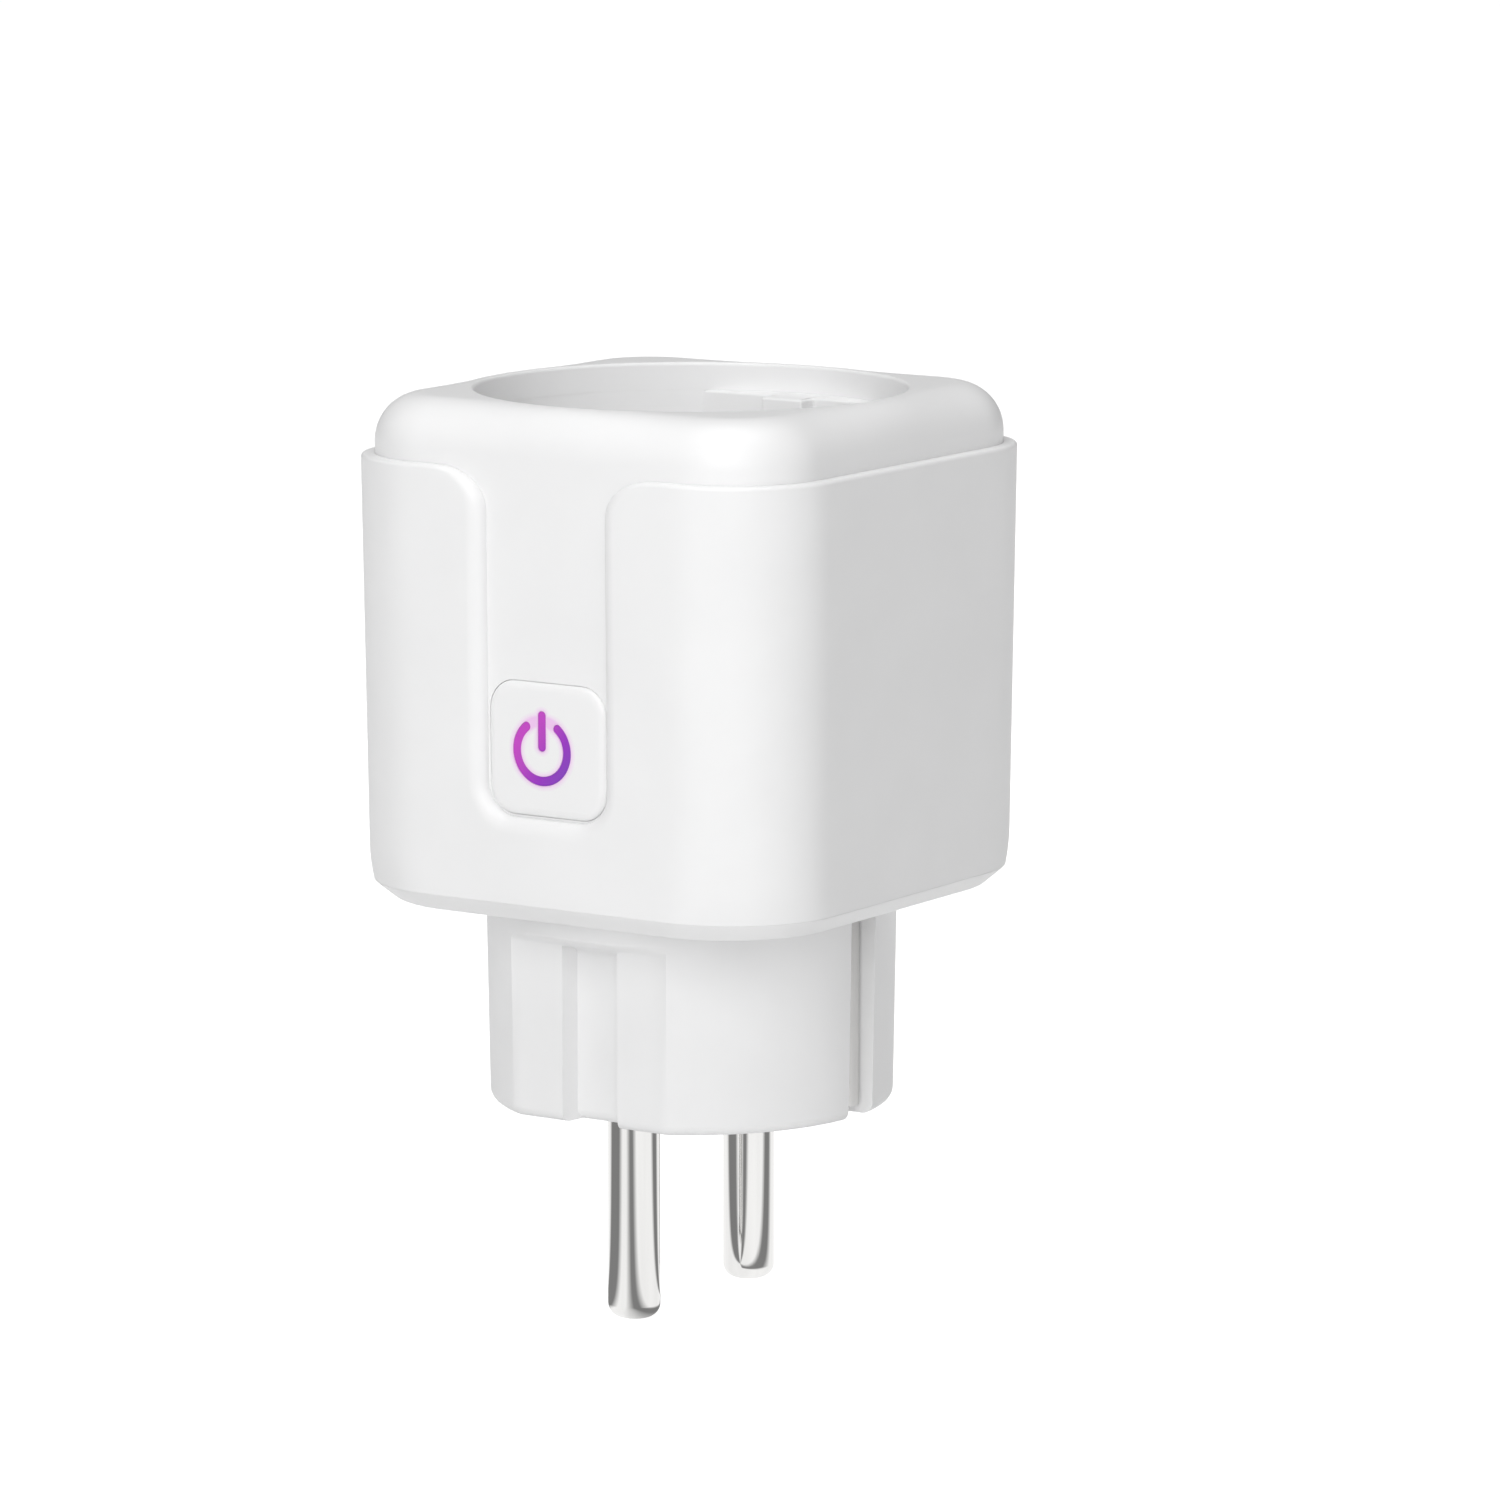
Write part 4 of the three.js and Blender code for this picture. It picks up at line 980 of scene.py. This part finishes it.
def cap_with_painted_glow(color):
    """The cap's white plastic, with a painted glow: the light that leaks into it from the symbol is painted
    into its colour close to the symbol.
    """
    made = Shader("cap_plastic", color, 0.38)

    def combined(operation, first, second=0.0):
        node = made.node("ShaderNodeMath")
        node.operation = operation
        made.feed(node.inputs[0], first)
        made.feed(node.inputs[1], second)
        return node.outputs["Value"]

    place = made.node("ShaderNodeSeparateXYZ", Vector=made.coords)
    x = combined("SUBTRACT", place.outputs["X"], SYMBOL_X * MM)
    z = combined("SUBTRACT", place.outputs["Z"], SYMBOL_Z * MM)
    radius = combined("SQRT", combined("ADD", combined("MULTIPLY", x, x), combined("MULTIPLY", z, z)))
    off_ring = combined("ABSOLUTE", combined("SUBTRACT", radius, SYMBOL_RADIUS * MM))
    middle = SYMBOL_BAR_TOP / 2 * MM
    straight = middle - SYMBOL_STROKE / 2 * MM
    past = combined("SUBTRACT", combined("ABSOLUTE", combined("SUBTRACT", z, middle)), straight)
    past = combined("MAXIMUM", past, 0.0)
    off_bar = combined("SQRT", combined("ADD", combined("MULTIPLY", x, x), combined("MULTIPLY", past, past)))
    off = combined("MINIMUM", off_ring, off_bar)
    patchy = made.node("ShaderNodeMapRange", Value=made.noise(2.0), To_Min=0.8 * MM, To_Max=1.1 * MM)
    edge = SYMBOL_STROKE / 2 * MM
    share = made.node("ShaderNodeMapRange", Value=off, From_Min=edge)
    made.feed(share.inputs["From Max"], patchy.outputs["Result"])
    # Painted glow: the base colour turns pink near the symbol, standing in for the symbol's light leaking
    # into the cap.
    stops = [(0, (0.85, 0.56, 0.85)), (0.45, (0.865, 0.76, 0.867)), (1, color)]
    made.feed(made.shader.inputs["Base Color"], made.ramp(share.outputs["Result"], stops))
    made.rough(made.noise(2.5), 0.34, 0.43)
    made.bump(made.noise(0.12, 2), 0.004)
    made.set("IOR", 1.46)
    return made.material


def build_materials():
    dark_sleeve, sleeve_stripe = (0.012, 0.016, 0.025), (0.03, 0.035, 0.05)
    return {
        "white_plastic": plastic("white_plastic", (0.87, 0.87, 0.872), 0.38),
        "cap_plastic": cap_with_painted_glow((0.87, 0.87, 0.872)),
        "inner_plastic": plastic("inner_plastic", (0.76, 0.76, 0.74), 0.5, 0.008),
        "nickel": metal("nickel", (0.78, 0.775, 0.765), 0.06, (1, 1, 0.04)),
        "brass": metal("brass", (0.78, 0.58, 0.27), 0.3, (1, 1, 0.08)),
        "steel": metal("steel", (0.58, 0.59, 0.61), 0.32, (1, 0.2, 1)),
        "board": board("board", (0.015, 0.10, 0.045)),
        "dark_board": board("dark_board", (0.012, 0.014, 0.02)),
        "black_plastic": plastic("black_plastic", (0.012, 0.012, 0.013), 0.45, 0.01, 0.1),
        "purple_diffuser": lit_symbol(),
        "led": plastic("led", (0.85, 0.8, 0.62), 0.2, 0.002),
        "capacitor_sleeve": striped_sleeve("capacitor_sleeve", dark_sleeve, sleeve_stripe, 2.0),
        "ferrite": wound("ferrite", (0.05, 0.035, 0.03), 0.35),
        "blue_epoxy": plastic("blue_epoxy", (0.015, 0.09, 0.38), 0.3, 0.03, 0.12),
        "yellow_plastic": plastic("yellow_plastic", (0.62, 0.38, 0.03), 0.35, 0.006, 0.04),
        "fuse_ceramic": plastic("fuse_ceramic", (0.55, 0.47, 0.36), 0.5, 0.012, 0.05),
        "copper": metal("copper", (0.72, 0.40, 0.25), 0.3, (0.1, 1, 1)),
        "copper_winding": wound("copper_winding", (0.40, 0.14, 0.04), 0.22, metallic=0.5),
        "earth_insulation": striped_sleeve("earth_insulation", (0.03, 0.25, 0.04), (0.65, 0.55, 0.03), 3.0),
    }


# ---- Assembly ----------------------------------------------------------------------------------

looks = build_materials()
white = looks["white_plastic"]
piece("sleeve_shell", outer_sleeve(), white, "housing", "outer_sleeve")
piece("housing_shell", inner_housing(), white, "housing", "inner_housing")
piece("recess_shell", socket_cup(), white, "housing", "socket_cup")
piece("base_shell", base_housing(), white, "housing", "base_housing", 30)
piece("button_shell", button_cap(), looks["cap_plastic"], "button", "button_cap")
piece("power_symbol", light_guide(), looks["purple_diffuser"], "button", "light_guide")
for side, node in ((1, "plug_pin_live"), (-1, "plug_pin_neutral")):
    piece(f"{node}_turned", plug_pin(side), looks["nickel"], "housing", node)
for number in range(1, 5):
    node = f"housing_screw_{number}"
    low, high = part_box(node)
    place = ((low.x + high.x) / 2 / MM, (low.y + high.y) / 2 / MM)
    piece(f"{node}_cross", housing_screw(place), looks["steel"], "housing", node)

REBUILT = {"outer_sleeve", "inner_housing", "socket_cup", "base_housing", "button_cap", "light_guide",
           "plug_pin_live", "plug_pin_neutral", *(f"housing_screw_{n}" for n in range(1, 5))}


def finish_cad_nodes():
    """The other CAD nodes keep their shapes and get eased edges and their finish."""
    for row in frame["record"]["subparts"]:
        name = row["node"]
        if name in REBUILT:
            continue
        node = frame["nodes"][name]
        node.data.materials.clear()
        node.data.materials.append(looks[row["material_slot"]])
        smallest = min(high - low for low, high in (span(name, axis) for axis in range(3)))
        bevel = node.modifiers.new("eased", "BEVEL")
        bevel.width = min(0.2, smallest * 0.12) * MM
        bevel.segments = 3
        bevel.limit_method = "ANGLE"
        bevel.angle_limit = math.radians(35)
        weighted = node.modifiers.new("weighted", "WEIGHTED_NORMAL")
        weighted.keep_sharp = True


finish_cad_nodes()

# ---- Floor, light and camera -------------------------------------------------------------------

FLOOR_RADIUS = 6.0
FLOOR_SIDES = 48
TABLE_GLOW = 0.75
# Dark bands painted on the table, seen only in reflections and standing in for flags, so that bare metal
# shows lines: the middle of each and half its width, in degrees counted from the left by way of the front.
PAINTED_DARK_BANDS = ((40, 20), (110, 5), (220, 10))
PAINTED_BAND_SOFTNESS = 15
PAINTED_BAND_TONE = 0.25
OPEN_TONE = 1.1


def painted_band_stops():
    """The table's tone around it as glossy rays see it, as (share of a turn, colour) stops: open, with
    soft-edged painted dark bands.
    """
    stops = [(0, (OPEN_TONE,) * 3)]
    for middle, half in PAINTED_DARK_BANDS:
        outer = half + PAINTED_BAND_SOFTNESS
        edges = ((-outer, OPEN_TONE), (-half, PAINTED_BAND_TONE), (half, PAINTED_BAND_TONE), (outer, OPEN_TONE))
        for offset, tone in edges:
            stops.append(((middle + offset) / 360, (tone,) * 3))
    return stops


def light_table():
    """A white table top, lit from below so that it photographs as plain white. What glossy rays
    see of it has dark bands painted in some directions, a painted reflection standing in for flags
    around the table, so that bare metal shows bands. From below the table can be seen through."""
    made = Shader("light_table", (0.92, 0.92, 0.92), 0.9)
    made.shades(made.noise(40), 0.003)
    made.set("Emission Color", (1, 1, 1, 1))
    # Painted reflection: dark bands round the table that only glossy rays see, so that bare metal reflects
    # lines.
    around = made.node("ShaderNodeTexGradient", Vector=made.coords)
    around.gradient_type = "RADIAL"
    bands = made.ramp(around.outputs["Fac"], painted_band_stops())
    seen = made.tree.nodes.new("ShaderNodeEmission")
    made.feed(seen.inputs["Color"], bands)
    path = made.tree.nodes.new("ShaderNodeLightPath")
    mixed = made.node("ShaderNodeMixShader", Fac=path.outputs["Is Glossy Ray"])
    made.feed(mixed.inputs[1], made.shader.outputs["BSDF"])
    made.feed(mixed.inputs[2], seen.outputs["Emission"])
    below = made.tree.nodes.new("ShaderNodeNewGeometry").outputs["Backfacing"]
    open_below = made.node("ShaderNodeMixShader", Fac=below)
    made.feed(open_below.inputs[1], mixed.outputs["Shader"])
    made.feed(open_below.inputs[2], made.tree.nodes.new("ShaderNodeBsdfTransparent").outputs["BSDF"])
    made.feed(made.tree.nodes["Material Output"].inputs["Surface"], open_below.outputs["Shader"])
    glow = made.node("ShaderNodeMath", Value=path.outputs["Is Camera Ray"])
    glow.operation = "MULTIPLY"
    glow.inputs[1].default_value = TABLE_GLOW
    made.feed(made.shader.inputs["Emission Strength"], glow.outputs["Value"])
    return made.material


floor_mesh = bpy.data.meshes.new("floor")
floor_points = [(x, y, PIN_TIP_Z * MM) for x, y in circle(FLOOR_RADIUS, count=FLOOR_SIDES)]
floor_mesh.from_pydata(floor_points, [], [tuple(range(FLOOR_SIDES))])
floor = bpy.data.objects.new("floor", floor_mesh)
bpy.context.scene.collection.objects.link(floor)
floor_mesh.materials.append(light_table())

MIDDLE = Vector((0, 0, 0.032))


def area_light(name, azimuth, elevation, distance, size, power):
    """A soft square light; azimuth 0 is in front of the button and 90 on the right."""
    a, e = math.radians(azimuth), math.radians(elevation)
    data = bpy.data.lights.new(name, "AREA")
    data.shape = "SQUARE"
    data.size = size
    data.energy = power
    made = bpy.data.objects.new(name, data)
    toward = Vector((math.sin(a) * math.cos(e), -math.cos(a) * math.cos(e), math.sin(e)))
    made.location = MIDDLE + distance * toward
    made.rotation_euler = (MIDDLE - made.location).to_track_quat("-Z", "Y").to_euler()
    bpy.context.scene.collection.objects.link(made)


area_light("key", 20, 25, 0.7, 0.5, 2.2)
area_light("fill", 45, 20, 0.7, 0.5, 0.35)
area_light("top", 10, 82, 0.8, 0.7, 3.2)

WORLD_STRENGTH = 0.28
world = bpy.data.worlds.new("studio")
world.use_nodes = True
background = world.node_tree.nodes["Background"]
background.inputs["Color"].default_value = (1, 1, 1, 1)
background.inputs["Strength"].default_value = WORLD_STRENGTH
bpy.context.scene.world = world
bpy.context.scene.view_settings.view_transform = "Standard"

VIEW_TURN = math.radians(33.367)
VIEW_PITCH = math.radians(9.317)
AIM_ASIDE = 5.36
AIM_Z = 32.211
EYE_DISTANCE = 683.26
SENSOR_WIDTH = 36
FOCAL_LENGTH = 179.17
forward = Vector((
    -math.sin(VIEW_TURN) * math.cos(VIEW_PITCH),
    math.cos(VIEW_TURN) * math.cos(VIEW_PITCH),
    -math.sin(VIEW_PITCH),
))
aim = Vector((AIM_ASIDE * math.cos(VIEW_TURN), AIM_ASIDE * math.sin(VIEW_TURN), AIM_Z))
camera_data = bpy.data.cameras.new("camera")
camera_data.sensor_width = SENSOR_WIDTH
camera_data.lens = FOCAL_LENGTH
camera_data.clip_start = 0.01
camera_data.clip_end = 50
camera = bpy.data.objects.new("camera", camera_data)
camera.location = (aim - EYE_DISTANCE * forward) * MM
camera.rotation_euler = forward.to_track_quat("-Z", "Y").to_euler()
bpy.context.scene.collection.objects.link(camera)
bpy.context.scene.camera = camera
